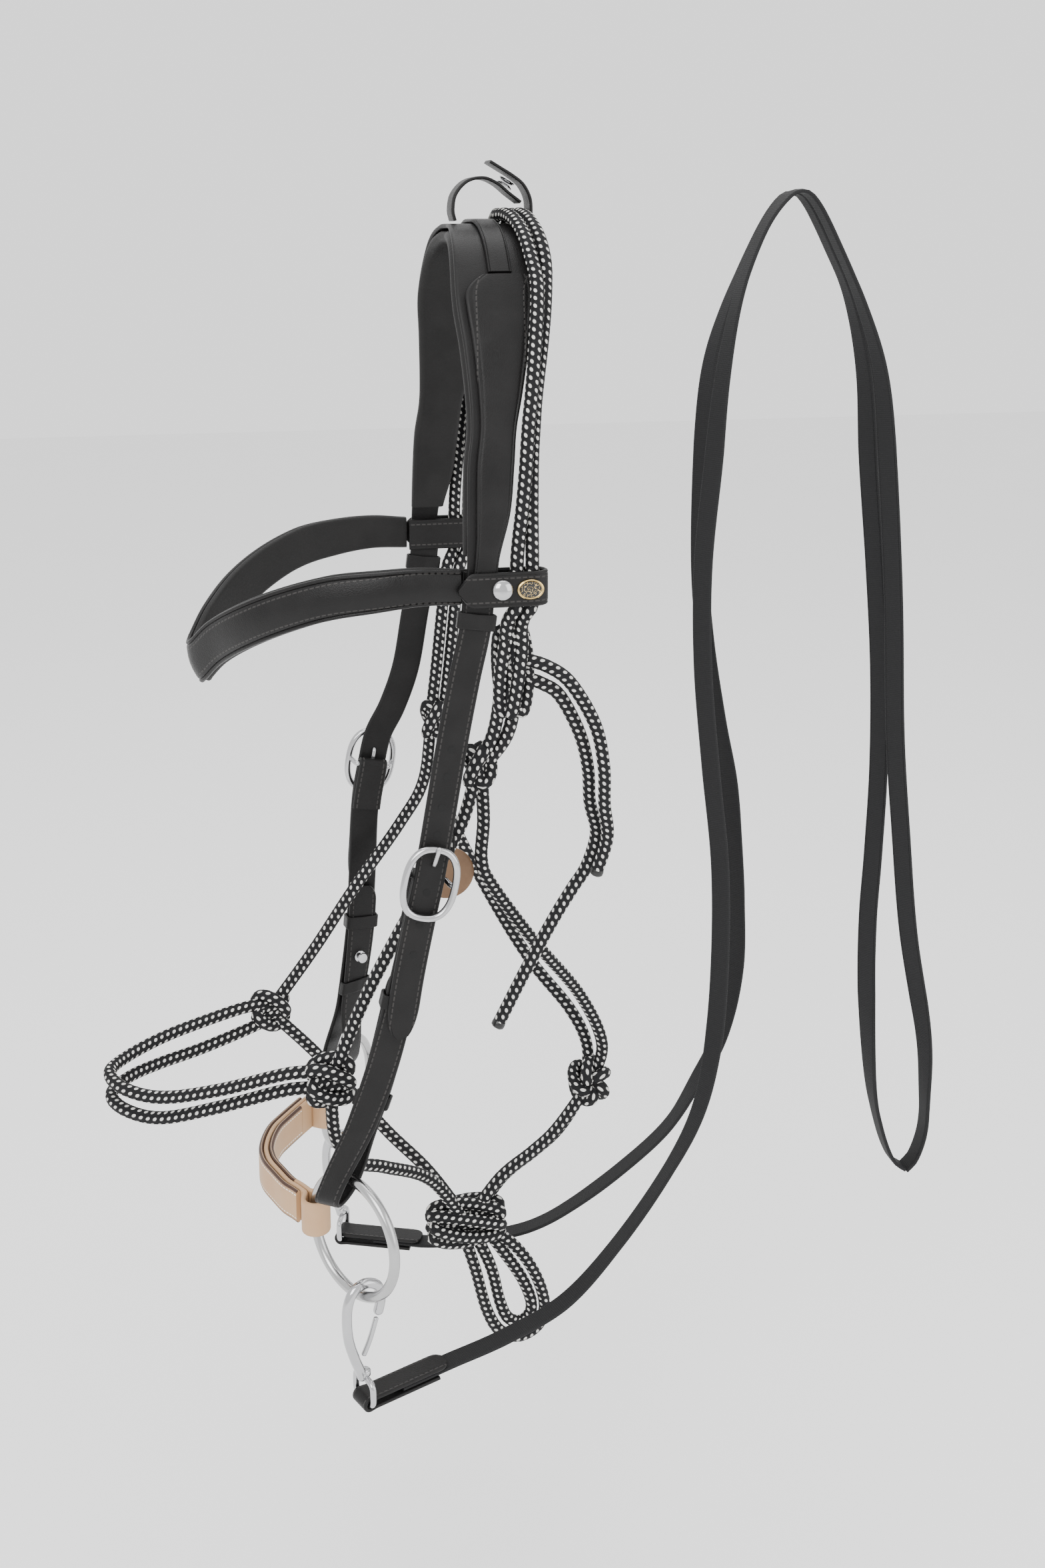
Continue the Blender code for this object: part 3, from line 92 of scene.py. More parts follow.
BILLET = {
    "near": [(-0.0240, 0.0848, -0.172), (-0.0262, 0.0855, -0.200), (-0.033, 0.0868, -0.230),
             (-0.040, 0.0872, -0.265), (-0.0465, 0.0880, -0.301), (-0.0500, 0.0889, -0.320),
             (-0.0540, 0.0893, -0.341), (-0.0590, 0.0896, -0.363), (-0.0660, 0.0898, -0.397),
             (-0.0715, 0.0910, -0.430)],
    "far": [(-0.0230, 0.0848, -0.172), (-0.0255, 0.0852, -0.200), (-0.031, 0.0858, -0.232),
            (-0.0370, 0.0856, -0.265), (-0.0460, 0.0852, -0.290), (-0.0553, 0.0852, -0.308),
            (-0.0600, 0.0853, -0.327), (-0.0640, 0.0866, -0.350), (-0.0662, 0.0892, -0.383),
            (-0.0685, 0.0873, -0.412)],
}
CHEEK = {
    "near": [(-0.0540, 0.0833, -0.341), (-0.0605, 0.0834, -0.370), (-0.0700, 0.0835, -0.410),
             (-0.0800, 0.0836, -0.449), (-0.0905, 0.0838, -0.480), (-0.1033, 0.0836, -0.5122)],
    "far": [(-0.0600, 0.0793, -0.327), (-0.0648, 0.0798, -0.355), (-0.0668, 0.0803, -0.390),
            (-0.0690, 0.0801, -0.430), (-0.0745, 0.0790, -0.470), (-0.0837, 0.0778, -0.5171)],
}
RING_HOLD = (0.66, 0.75, 0.16)
RING_CENTRE = {"near": (-0.0985, -0.091, -0.545), "far": (-0.079, 0.085, -0.550)}
RING_YAW = math.radians(57)
RING_RADIUS = 0.034
SNAP_ANGLE = {"near": math.radians(168), "far": math.radians(198)}
NOSEBAND = [(-0.1214, -0.0551, -0.545), (-0.1252, -0.0480, -0.545), (-0.1297, -0.0406, -0.545),
            (-0.1344, -0.0277, -0.545), (-0.1380, -0.0168, -0.545), (-0.1392, -0.0085, -0.545),
            (-0.1391, 0.0, -0.545), (-0.1365, 0.0120, -0.545), (-0.1319, 0.0239, -0.545),
            (-0.1259, 0.0332, -0.5452), (-0.1173, 0.0455, -0.5456), (-0.1086, 0.0573, -0.546)]
STRAND_FRONT = [(0, 0.0162, 0.0052), (0.030, 0.0167, 0.0095), (0.046, 0.0172, 0.0112),
                (0.062, 0.0183, 0.0120), (0.088, 0.0183, 0.0085), (0.116, 0.0180, 0.0045),
                (0.134, 0.0172, 0.0020), (0.153, 0.0160, 0.0003), (0.178, 0.0135, -0.0022),
                (0.198, 0.0103, -0.0042), (0.212, 0.0092, -0.0044), (0.227, 0.0092, -0.0046)]
STRAND_REAR = [(0, 0.0162, 0.0137), (0.030, 0.0167, 0.0176), (0.046, 0.0152, 0.0192),
               (0.062, 0.0122, 0.0180), (0.088, 0.0113, 0.0137), (0.116, 0.0104, 0.0087),
               (0.134, 0.0098, 0.0067), (0.153, 0.0090, 0.0052), (0.178, 0.0082, 0.0045),
               (0.198, 0.0090, 0.0042), (0.212, 0.0092, 0.0040), (0.227, 0.0092, 0.0038)]
CROWN_FAR_TAIL = [(-0.0070, 0.0815, -0.203), (-0.0110, 0.078, -0.231), (-0.0150, 0.0755, -0.263),
                  (-0.0200, 0.0715, -0.297)]
CROWN_NEAR_TAIL = [(-0.0045, -0.0770, -0.229), (-0.0045, -0.0830, -0.202)]
# knot centres, half sizes, axis of the wraps, turns round and through
KNOTS = {
    "knot_tie": ((-0.0045, -0.0770, -0.2290), (0.0125, 0.0095, 0.0270), "Z", (2, 5)),
    "knot_cheek_near": ((-0.0220, -0.0690, -0.2840), (0.0110, 0.0100, 0.0130), "Z", (2, 3)),
    "knot_cheek_far": ((-0.0210, 0.0710, -0.2970), (0.0110, 0.0100, 0.0130), "Z", (2, 3)),
    "knot_nose_near": ((-0.1060, -0.0570, -0.4680), (0.0145, 0.0120, 0.0170), "X", (2, 5)),
    "knot_nose_far": ((-0.1300, 0.0560, -0.4740), (0.0125, 0.0110, 0.0145), "X", (2, 3)),
    "knot_throat": ((0.0620, 0.0, -0.5160), (0.0145, 0.0120, 0.0160), "Y", (2, 5)),
    "knot_fiador": ((-0.0170, 0.0, -0.6010), (0.0250, 0.0140, 0.0170), "X", (3, 7)),
}
ROPES = {
    "rope_cheek_near": [(-0.022, -0.069, -0.284), (-0.0315, -0.0675, -0.318),
                        (-0.0505, -0.066, -0.351), (-0.069, -0.064, -0.384),
                        (-0.087, -0.0615, -0.42), (-0.106, -0.057, -0.468)],
    "rope_cheek_far": [(-0.0235, 0.071, -0.297), (-0.0292, 0.069, -0.336),
                       (-0.045, 0.066, -0.362), (-0.076, 0.062, -0.402),
                       (-0.102, 0.06, -0.439), (-0.13, 0.056, -0.474)],
    "rope_throat_near": [(-0.02, -0.067, -0.286), (-0.0175, -0.0615, -0.318),
                         (-0.018, -0.0575, -0.343), (-0.0115, -0.053, -0.36),
                         (0.018, -0.035, -0.405), (0.052, -0.013, -0.452),
                         (0.069, -0.004, -0.49), (0.064, 0, -0.516)],
    "rope_throat_far": [(-0.0175, 0.0685, -0.3), (-0.016, 0.062, -0.345), (-0.009, 0.055, -0.37),
                        (0.012, 0.04, -0.413), (0.031, 0.023, -0.445), (0.052, 0.01, -0.472),
                        (0.062, 0.006, -0.495), (0.06, 0, -0.516)],
    "rope_nose_upper": [(-0.13, 0.056, -0.47), (-0.147, 0.051, -0.469), (-0.172, 0.044, -0.472),
                        (-0.197, 0.034, -0.475), (-0.219, 0.019, -0.478),
                        (-0.2285, 0.001, -0.478), (-0.22, -0.018, -0.4795),
                        (-0.199, -0.03, -0.481), (-0.167, -0.042, -0.474),
                        (-0.129, -0.054, -0.4625), (-0.106, -0.057, -0.463)],
    "rope_nose_lower": [(-0.13, 0.056, -0.48), (-0.148, 0.05, -0.484), (-0.175, 0.041, -0.4885),
                        (-0.199, 0.031, -0.49), (-0.218, 0.017, -0.49), (-0.228, -0.001, -0.4905),
                        (-0.22, -0.018, -0.4925), (-0.2, -0.03, -0.4935),
                        (-0.168, -0.042, -0.4845), (-0.129, -0.054, -0.4722),
                        (-0.106, -0.057, -0.473)],
    "rope_chin_far": [(-0.13, 0.056, -0.476), (-0.103, 0.05, -0.5035), (-0.081, 0.04, -0.529),
                      (-0.06, 0.028, -0.552), (-0.038, 0.013, -0.572), (-0.017, 0.003, -0.601)],
    "rope_chin_near": [(-0.106, -0.057, -0.474), (-0.103, -0.052, -0.506),
                       (-0.091, -0.046, -0.526), (-0.072, -0.036, -0.5375),
                       (-0.042, -0.016, -0.561), (-0.017, -0.003, -0.601)],
    "rope_fiador_near": [(0.06, -0.004, -0.518), (0.04, -0.0042, -0.544),
                         (0.025, -0.0042, -0.557), (0.009, -0.0042, -0.568),
                         (-0.001, -0.0042, -0.578), (-0.015, 0, -0.601)],
    "rope_fiador_far": [(0.064, 0.004, -0.518), (0.045, 0.0042, -0.547),
                        (0.029, 0.0042, -0.561), (0.013, 0.0042, -0.572),
                        (0.003, 0.0042, -0.582), (-0.013, 0, -0.601)],
    "rope_tail_long": [(-0.001, -0.077, -0.232), (0.012, -0.078, -0.237),
                       (0.0225, -0.078, -0.245), (0.0345, -0.075, -0.268),
                       (0.0405, -0.071, -0.29), (0.043, -0.066, -0.311),
                       (0.048, -0.062, -0.331), (0.043, -0.0605, -0.351),
                       (0.0345, -0.0605, -0.364), (0.023, -0.062, -0.381),
                       (0.0065, -0.064, -0.409), (-0.011, -0.066, -0.441)],
    "rope_tail_short": [(-0.001, -0.077, -0.222), (0.014, -0.0815, -0.2265),
                        (0.0275, -0.082, -0.237), (0.042, -0.08, -0.262),
                        (0.0475, -0.079, -0.287), (0.049, -0.0755, -0.31),
                        (0.052, -0.0715, -0.331), (0.046, -0.0695, -0.353)],
}
STRANDS = {
    "tie_front": ("knot_tie", [(-0.0085, -0.077, -0.22), (-0.0135, -0.0735, -0.262),
                               (-0.0225, -0.069, -0.284)]),
    "tie_rear": ("knot_tie", [(-0.0005, -0.077, -0.22), (-0.005, -0.0735, -0.262),
                              (-0.0175, -0.069, -0.284)]),
    "lead_outer": ("knot_fiador", [
        (-0.019, 0, -0.609), (-0.0115, 0, -0.634), (-0.004, 0, -0.664), (0.005, 0, -0.6805),
        (0.018, 0, -0.6855), (0.03, 0, -0.679), (0.0335, 0, -0.665), (0.0275, 0, -0.644),
        (0.015, 0, -0.6235), (-0.003, 0, -0.607)]),
    "lead_inner": ("knot_fiador", [
        (-0.013, 0, -0.607), (-0.0015, 0, -0.634), (0.0045, 0, -0.6595), (0.0095, 0, -0.6715),
        (0.0175, 0, -0.6755), (0.024, 0, -0.6705), (0.0245, 0, -0.661), (0.0185, 0, -0.645),
        (0.0065, 0, -0.625), (-0.007, 0, -0.605)]),
}
REINS = {
    "near": [(-0.005, -0.064, -0.639), (0.034, -0.054, -0.628), (0.069, -0.046, -0.599),
             (0.101, -0.038, -0.563), (0.122, -0.033, -0.529), (0.133, -0.028, -0.490),
             (0.138, -0.024, -0.438), (0.138, -0.021, -0.375), (0.131, -0.020, -0.311),
             (0.125, -0.020, -0.249), (0.124, -0.020, -0.188), (0.129, -0.020, -0.129),
             (0.134, -0.019, -0.078), (0.143, -0.017, -0.032), (0.158, -0.014, 0.006),
             (0.1725, -0.012, 0.0255), (0.183, -0.0115, 0.0300), (0.192, -0.0115, 0.0230),
             (0.204, -0.012, 0.002), (0.222, -0.012, -0.035), (0.236, -0.012, -0.077),
             (0.243, -0.012, -0.133), (0.250, -0.012, -0.216), (0.254, -0.013, -0.300),
             (0.260, -0.014, -0.365), (0.268, -0.014, -0.433), (0.283, -0.011, -0.505),
             (0.2875, -0.007, -0.549), (0.2885, -0.004, -0.5750), (0.2845, -0.001, -0.5950),
             (0.2782, 0.0, -0.6030)],
    "far": [(-0.008, 0.047, -0.6440), (0.010, 0.043, -0.641), (0.035, 0.039, -0.635),
            (0.059, 0.035, -0.622), (0.091, 0.029, -0.597), (0.121, 0.023, -0.567),
            (0.139, 0.018, -0.534), (0.153, 0.014, -0.502), (0.161, 0.011, -0.456),
            (0.160, 0.009, -0.410), (0.157, 0.008, -0.370), (0.153, 0.008, -0.330),
            (0.145, 0.009, -0.290), (0.137, 0.011, -0.240), (0.133, 0.012, -0.194),
            (0.133, 0.012, -0.133), (0.136, 0.012, -0.077), (0.146, 0.011, -0.038),
            (0.164, 0.009, 0.004), (0.1765, 0.0075, 0.0245), (0.186, 0.0070, 0.0295),
            (0.1945, 0.0065, 0.0225), (0.208, 0.006, -0.002), (0.223, 0.006, -0.034),
            (0.234, 0.007, -0.078), (0.240, 0.009, -0.136), (0.247, 0.010, -0.199),
            (0.252, 0.009, -0.264), (0.253, 0.007, -0.328), (0.251, 0.006, -0.385),
            (0.249, 0.006, -0.430), (0.250, 0.006, -0.480), (0.2545, 0.005, -0.541),
            (0.2610, 0.003, -0.574), (0.2690, 0.001, -0.5955), (0.2772, 0.0, -0.6025)],
}
KEEPER_FRONT = [(-0.0210, 0, 0.0128), (-0.0222, 0, 0.0190), (-0.0205, 0, 0.0275),
                (-0.0140, 0, 0.0345), (-0.0050, 0, 0.0365), (0.0030, 0, 0.0335),
                (0.0100, 0, 0.0280), (0.0165, 0, 0.0232)]
KEEPER_REAR = [(0.0222, 0, 0.0118), (0.0226, 0, 0.0190), (0.0218, 0, 0.0260), (0.0180, 0, 0.0330),
               (0.0120, 0, 0.0378), (0.0050, 0, 0.0420), (-0.0010, 0, 0.0455)]
TAG_THONG = [(-0.0365, -0.0510, -0.3392), (-0.0366, -0.0560, -0.3398), (-0.0370, -0.0630, -0.3385),
             (-0.0372, -0.0705, -0.3350), (-0.0370, -0.0738, -0.3295), (-0.0365, -0.0710, -0.3235),
             (-0.0360, -0.0640, -0.3215), (-0.0360, -0.0560, -0.3250), (-0.0362, -0.0495, -0.3340)]
HOOK = [(0.0090, -0.0150), (0.0112, -0.0060), (0.0092, 0.0028), (0.0020, 0.0069),
        (-0.0056, 0.0052), (-0.0096, -0.0020), (-0.0106, -0.0120), (-0.0096, -0.0240),
        (-0.0062, -0.0360), (-0.0028, -0.0450), (-0.0008, -0.0515)]
GATE = [(-0.0006, -0.0370), (0.0040, -0.0280), (0.0084, -0.0160)]
EYE_TOP, EYE_BOTTOM, EYE_HALF = -0.0500, -0.0640, 0.0095
SNAP_TURN = math.radians(22.6)


# --- paths ----------------------------------------------------------------------------------
def spline(points, step=None, count=None):
    """Catmull-Rom curve through the points, then read at even arc length.
    A point between b and c is half of 2b + (c-a)t + (2a-5b+4c-d)t^2 + (3b-a-3c+d)t^3."""
    p = np.array(points, float)
    p = np.vstack([2 * p[0] - p[1], p, 2 * p[-1] - p[-2]])
    t = np.linspace(0, 1, 24, endpoint=False)[None, :, None]
    a, b, c, d = (p[i:len(p) - 3 + i, None] for i in range(4))
    dense = 0.5 * (2 * b + (c - a) * t + (2 * a - 5 * b + 4 * c - d) * t ** 2
                   + (3 * b - a - 3 * c + d) * t ** 3)
    dense = np.vstack([dense.reshape(-1, p.shape[1]), p[-2]])
    return resample(dense, step, count)


def length_along(path):
    """Arc length at each point: the running sum of the distances between neighbours."""
    return np.concatenate([[0], np.cumsum(np.linalg.norm(np.diff(path, axis=0), axis=1))])


def resample(path, step=None, count=None):
    s = length_along(path)
    count = count or max(3, int(round(s[-1] / step)) + 1)
    at = np.linspace(0, s[-1], count)
    return np.stack([np.interp(at, s, path[:, k]) for k in range(path.shape[1])], axis=1)


def unit(v):
    return v / np.maximum(np.linalg.norm(v, axis=-1, keepdims=True), 1e-12)


def tangents(path, closed=False):
    """Direction at each point: the next point minus the one before, made a unit."""
    if closed:
        return unit(np.roll(path, -1, 0) - np.roll(path, 1, 0))
    return unit(np.gradient(path, axis=0))


def carried_sides(path, closed=False):
    """Two unit sides that turn as little as they can from one point to the next."""
    t = tangents(path, closed)
    side = np.zeros_like(t)
    first = np.cross(t[0], (0.3, 0.2, 0.93))
    side[0] = first / np.linalg.norm(first)
    for i in range(1, len(t)):
        v = side[i - 1] - t[i] * np.dot(side[i - 1], t[i])
        side[i] = v / np.linalg.norm(v)
    if closed:
        v = side[-1] - t[0] * np.dot(side[-1], t[0])
        v /= np.linalg.norm(v)
        twist = math.atan2(np.dot(np.cross(v, side[0]), t[0]), np.dot(v, side[0]))
        turn = (np.arange(len(t)) / len(t) * twist)[:, None]
        side = side * np.cos(turn) + np.cross(t, side) * np.sin(turn)
    return side, np.cross(t, side)


# --- meshes ---------------------------------------------------------------------------------
def grid_piece(name, points, uv, closed_rows=False, material=None, body="bridle", nodes=()):
    """A mesh from rings of points: the columns wrap round, and the rows wrap or are capped.
    points is rows x columns x 3, uv is rows x (columns + 1) x 2, with one seam column more."""
    rows, cols = points.shape[:2]
    r = np.arange(rows if closed_rows else rows - 1)[:, None]
    c = np.arange(cols)[None, :]
    r2, c2 = (r + 1) % rows, (c + 1) % cols
    quads = np.stack([r * cols + c, r * cols + c2, r2 * cols + c2, r2 * cols + c], -1)
    quads = quads.reshape(-1, 4)
    full = uv if not closed_rows else np.vstack([uv, uv[:1] + [[0, uv[-1, 0, 1] - uv[0, 0, 1]
                                                                + (uv[1, 0, 1] - uv[0, 0, 1])]]])
    corner = np.stack([full[r, c], full[r, c + 1], full[r + 1, c + 1], full[r + 1, c]], 2)
    corner = corner.reshape(-1, 2)
    faces = [list(q) for q in quads.tolist()]
    if not closed_rows:
        faces.append(list(range(cols))[::-1])
        faces.append(list(range((rows - 1) * cols, rows * cols)))
        corner = np.vstack([corner, uv[0, :cols][::-1], uv[-1, :cols]])
    mesh = bpy.data.meshes.new(name)
    mesh.from_pydata(points.reshape(-1, 3).tolist(), [], faces)
    layer = mesh.uv_layers.new(name="along")
    layer.data.foreach_set("uv", corner.astype(np.float32).ravel())
    mesh.shade_smooth()
    mesh.update()
    bm = bmesh.new()
    bm.from_mesh(mesh)
    if bm.calc_volume(signed=True) < 0:
        bmesh.ops.reverse_faces(bm, faces=bm.faces)
        bm.to_mesh(mesh)
    bm.free()
    mesh.set_sharp_from_angle(angle=math.radians(55))
    return add_piece(name, mesh, material, body, nodes)


def add_piece(name, mesh, material, body="bridle", nodes=()):
    piece = bpy.data.objects.new(name, mesh)
    bpy.context.scene.collection.objects.link(piece)
    if material:
        mesh.materials.clear()
        mesh.materials.append(material)
    if body:
        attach(piece, body)
    if nodes:
        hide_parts(*nodes)
    return piece


def sweep(name, path, radius, material, sides=18, closed=False, round_ends=True, body="bridle",
          nodes=(), braid=0.0, flat=1.0):
    """A tube: at each point of the path a circle of the radius in the plane of two carried
    sides. Its ends are drawn in as half circles. braid lifts each cell of the plait."""
    path = np.asarray(path, float)
    s = length_along(path)
    side, other = carried_sides(path, closed)
    r = np.full(len(path), radius)
    if not closed and round_ends:
        inset = np.minimum(s, s[-1] - s)
        soft = min(radius * 0.8, s[-1] / 4)
        r = radius * np.sqrt(np.clip(1 - (1 - np.clip(inset / soft, 0, 1)) ** 2, 0.02, 1))
    turn = np.arange(sides + 1) / sides
    ring = r[:, None] * np.ones(sides + 1)
    if braid:
        ring = ring * (1 + braid * plait(turn[None, :], s[:, None] / PLAIT_PITCH))
    cos, sin = np.cos(2 * math.pi * turn), np.sin(2 * math.pi * turn)
    points = (path[:, None] + side[:, None] * (ring * cos)[..., None]
              + other[:, None] * (ring * sin * flat)[..., None])
    uv = np.stack(np.broadcast_arrays(turn[None, :], s[:, None] / PLAIT_PITCH), -1)
    return grid_piece(name, points[:, :sides], uv, closed, material, body, nodes)


PLAIT_PITCH = 0.0043
PLAIT_ROUND = 6


def plait(turn, rows):
    """Height of the plait: in each cell of six columns, staggered by half a cell, a dome
    of one minus the squared distance from the cell's middle, down to the grooves between."""
    a = turn * PLAIT_ROUND
    column = np.floor(a)
    b = rows + 0.5 * np.mod(column, 2)
    x, y = a - column - 0.5, b - np.floor(b) - 0.5
    return np.clip(1 - 3.4 * (x * x + y * y), -0.25, 1) - 0.55


def strap(name, middle, across, out, half, thickness, material, closed=False, crease=0.0,
          crown=0.0, body="bridle", nodes=(), under=10.0):
    """A leather strap: at each point of its middle line a rounded bar, half wide each way.
    Its height is half the thickness, falling as a quarter circle at both rims, less a groove
    near each edge, plus a crown that is highest in the middle. The underside's first texture
    coordinate is moved on by under."""
    middle, across, out = (np.asarray(v, float) for v in (middle, across, out))
    half = np.broadcast_to(np.asarray(half, float), (len(middle),))
    top = np.array([-1, -0.995, -0.975, -0.94, -0.90, -0.86, -0.82, -0.78, -0.70, -0.55, -0.3, 0,
                    0.3, 0.55, 0.70, 0.78, 0.82, 0.86, 0.90, 0.94, 0.975, 0.995, 1])
    rim = np.clip((1 - np.abs(top)) / np.clip(thickness / 2 / half.mean(), 0.05, 0.4), 0, 1)
    rise = thickness / 2 * np.sqrt(np.clip(1 - (1 - rim) ** 2, 0, 1))
    groove = np.exp(-((np.abs(top) - 0.82) / 0.035) ** 2) * crease
    upper = rise - groove + crown * np.cos(np.clip(top / 0.82, -1, 1) * math.pi / 2)
    lower = -rise
    w = np.concatenate([top, top[-2:0:-1]])
    h = np.concatenate([upper, lower[-2:0:-1]])
    points = (middle[:, None] + across[:, None] * (w[None, :] * half[:, None])[..., None]
              + out[:, None] * h[None, :, None])
    s = length_along(middle)
    seam = np.concatenate([w, w[:1]])
    side = np.concatenate([np.sign(h + 1e-9), [1]])
    uv = np.stack(np.broadcast_arrays(seam[None, :] * half[:, None] * side[None, :] * 100,
                                      s[:, None] * 100), -1)
    uv = uv + np.stack([np.where(side < 0, under, 0.0)[None, :] * np.ones((len(s), 1)),
                        np.zeros((len(s), len(seam)))], -1)
    return grid_piece(name, points, uv, closed, material, body, nodes)


def turned(name, profile, place, axis, material, body="bridle", nodes=(), sides=40, oval=None):
    """A turned piece: each (radius, height) of the profile is carried round its axis."""
    axis = np.asarray(axis, float) / np.linalg.norm(axis)
    a = np.cross(axis, (0, 0, 1) if abs(axis[2]) < 0.9 else (1, 0, 0))
    a /= np.linalg.norm(a)
    b = np.cross(axis, a)
    profile = np.array(profile, float)
    turn = np.arange(sides + 1) / sides * 2 * math.pi
    wide, tall = oval or (1, 1)
    points = (np.asarray(place) + profile[:, None, 1:] * axis
              + profile[:, None, :1] * (wide * a * np.cos(turn)[None, :, None]
                                        + tall * b * np.sin(turn)[None, :, None]))
    uv = np.stack(np.broadcast_arrays(turn[None, :] * 0.3, profile[:, None, 1] * 100), -1)
    return grid_piece(name, points[:, :sides], uv, False, material, body, nodes)


# --- materials --------------------------------------------------------------------------------
class Val:
    """A number on a socket, with Python's operators making Math nodes."""

    def __init__(self, maker, socket):
        self.maker, self.socket = maker, socket

    def _math(self, operation, *values):
        return Val(self.maker, self.maker.node("ShaderNodeMath", {"operation": operation},
                                               dict(enumerate(values))).outputs[0])

    def __add__(self, other):
        return self._math("ADD", self, other)

    def __sub__(self, other):
        return self._math("SUBTRACT", self, other)

    def __mul__(self, other):
        return self._math("MULTIPLY", self, other)

    def __truediv__(self, other):
        return self._math("DIVIDE", self, other)

    def __radd__(self, other):
        return self._math("ADD", other, self)

    def __rsub__(self, other):
        return self._math("SUBTRACT", other, self)

    def __rmul__(self, other):
        return self._math("MULTIPLY", other, self)

    def fraction(self):
        return self._math("FRACT", self)

    def floor(self):
        return self._math("FLOOR", self)

    def size(self):
        return self._math("ABSOLUTE", self)

    def mod(self, other):
        return self._math("MODULO", self, other)

    def below(self, edge, soft):
        """One where the value is under the edge, falling to nothing over the soft width."""
        node = self.maker.node("ShaderNodeMapRange", {"clamp": True},
                               {0: self, 1: edge - soft, 2: edge + soft, 3: 1.0, 4: 0.0})
        return Val(self.maker, node.outputs[0])


class Finish:
    """A material's node tree, built a node at a time round its Principled shader."""

    def __init__(self, name, colour, roughness, metallic=0.0, **constants):
        self.material = bpy.data.materials.new(name)
        self.material.use_nodes = True
        self.tree = self.material.node_tree
        self.shader = self.tree.nodes["Principled BSDF"]
        self.shader.inputs["Base Color"].default_value = (*colour, 1)
        self.shader.inputs["Roughness"].default_value = roughness
        self.shader.inputs["Metallic"].default_value = metallic
        for key, value in constants.items():
            self.shader.inputs[key.replace("_", " ")].default_value = value

    def node(self, kind, settings, sockets):
        made = self.tree.nodes.new(kind)
        for key, value in settings.items():
            setattr(made, key, value)
        for key, value in sockets.items():
            socket = made.inputs[key]
            if isinstance(value, Val):
                self.tree.links.new(value.socket, socket)
            elif isinstance(value, bpy.types.NodeSocket):
                self.tree.links.new(value, socket)
            else:
                socket.default_value = value
        return made

    def place(self):
        return self.node("ShaderNodeTexCoord", {}, {}).outputs["Object"]

    def along(self):
        split = self.node("ShaderNodeSeparateXYZ", {},
                          {0: self.node("ShaderNodeUVMap", {"uv_map": "along"}, {}).outputs[0]})
        return Val(self, split.outputs[0]), Val(self, split.outputs[1])

    def noise(self, scale, detail=3.0, roughness=0.5):
        node = self.node("ShaderNodeTexNoise", {}, {"Vector": self.place(), "Scale": scale,
                                                    "Detail": detail, "Roughness": roughness})
        return Val(self, node.outputs["Fac"])

    def cells(self, scale):
        node = self.node("ShaderNodeTexVoronoi", {"feature": "DISTANCE_TO_EDGE"},
                         {"Vector": self.place(), "Scale": scale})
        return Val(self, node.outputs["Distance"])

    def blend(self, factor, low, high):
        sides = [(*v, 1) if isinstance(v, tuple) else v for v in (low, high)]
        return self.node("ShaderNodeMix", {"data_type": "RGBA"},
                         {0: factor, 6: sides[0], 7: sides[1]}).outputs[2]

    def colour(self, socket):
        self.tree.links.new(socket, self.shader.inputs["Base Color"])

    def rough(self, value):
        self.tree.links.new(value.socket, self.shader.inputs["Roughness"])

    def bump(self, height, strength, distance):
        node = self.node("ShaderNodeBump", {}, {"Strength": strength, "Distance": distance,
                                                "Height": height})
        self.tree.links.new(node.outputs[0], self.shader.inputs["Normal"])


def leather(name, colour, roughness, stitch=None, stitch_at=0.0, grain=900.0):
    """Leather: fine pores from cell edges, slow wear from noise, and a line of stitches
    where the distance from the strap's middle is close to stitch_at (in centimetres)."""
    made = Finish(name, colour, roughness, Specular_IOR_Level=0.22)
    wear = made.noise(55.0, 4.0)
    pores = made.cells(grain).below(0.10, 0.10)
    light = tuple(min(1, c * 1.4 + 0.001) for c in colour)
    base = made.blend(wear.below(0.52, 0.16), light, colour)
    height = 0.55 * made.noise(340.0, 3.0) - 0.35 * pores
    if stitch:
        across, along = made.along()
        line = (across.size() - stitch_at).size().below(0.040, 0.012)
        thread = line * ((along / 0.34).fraction() - 0.5).size().below(0.34, 0.05)
        base = made.blend(thread, base, stitch)
        height = height + 1.6 * thread - 1.2 * (line - thread)
    made.colour(base)
    made.rough(roughness + 0.22 * (wear - 0.5) + 0.10 * pores)
    made.bump(height, 0.35, 0.00035)
    return made.material


def braided(name, dark, fleck):
    """Braided cord: six columns of cells round the cord, each column half a cell on from
    the last. A light fleck fills the middle of each cell; the rest is fine dark yarn."""
    made = Finish(name, dark, 0.72, Specular_IOR_Level=0.15)
    across, along = made.along()
    a = across * float(PLAIT_ROUND)
    column = a.floor()
    b = along + 0.5 * column.mod(2.0)
    x, y = a.fraction() - 0.5, b.fraction() - 0.5
    slant = x + 0.35 * y
    reach = 8.2 * slant * slant + 7.4 * y * y
    mask = reach.below(0.50, 0.14)
    yarn = made.noise(1500.0, 2.0)
    base = made.blend(mask, made.blend(yarn, dark, tuple(c * 2.6 for c in dark)),
                      made.blend(yarn, fleck, tuple(c * 0.72 for c in fleck)))
    made.colour(base)
    made.rough(0.55 + 0.3 * yarn)
    made.bump(0.8 * yarn - reach, 0.45, 0.0005)
    return made.material


def webbed(name, colour):
    """Ribbed webbing: fine ribs across its length, painted lighter on their crests and darker in
    the grooves between them as painted shade, and fine warp lines running along it.
    """
    made = Finish(name, colour, 0.62, Specular_IOR_Level=0.18)
    across, along = made.along()
    rib_height_and_shade = ((along / 0.12).fraction() - 0.5).size()
    warp = ((across / 0.09).fraction() - 0.5).size()
    yarn = made.noise(1800.0, 2.0)
    # The colour is lighter on each rib's crest and darker in the grooves between ribs: a painted
    # highlight and painted groove shade that follow the rib's height.
    made.colour(made.blend(rib_height_and_shade, tuple(c * 2.4 for c in colour), colour))
    made.rough(0.50 + 0.35 * yarn)
    made.bump(0.5 * yarn - rib_height_and_shade - 0.4 * warp, 0.6, 0.0004)
    return made.material


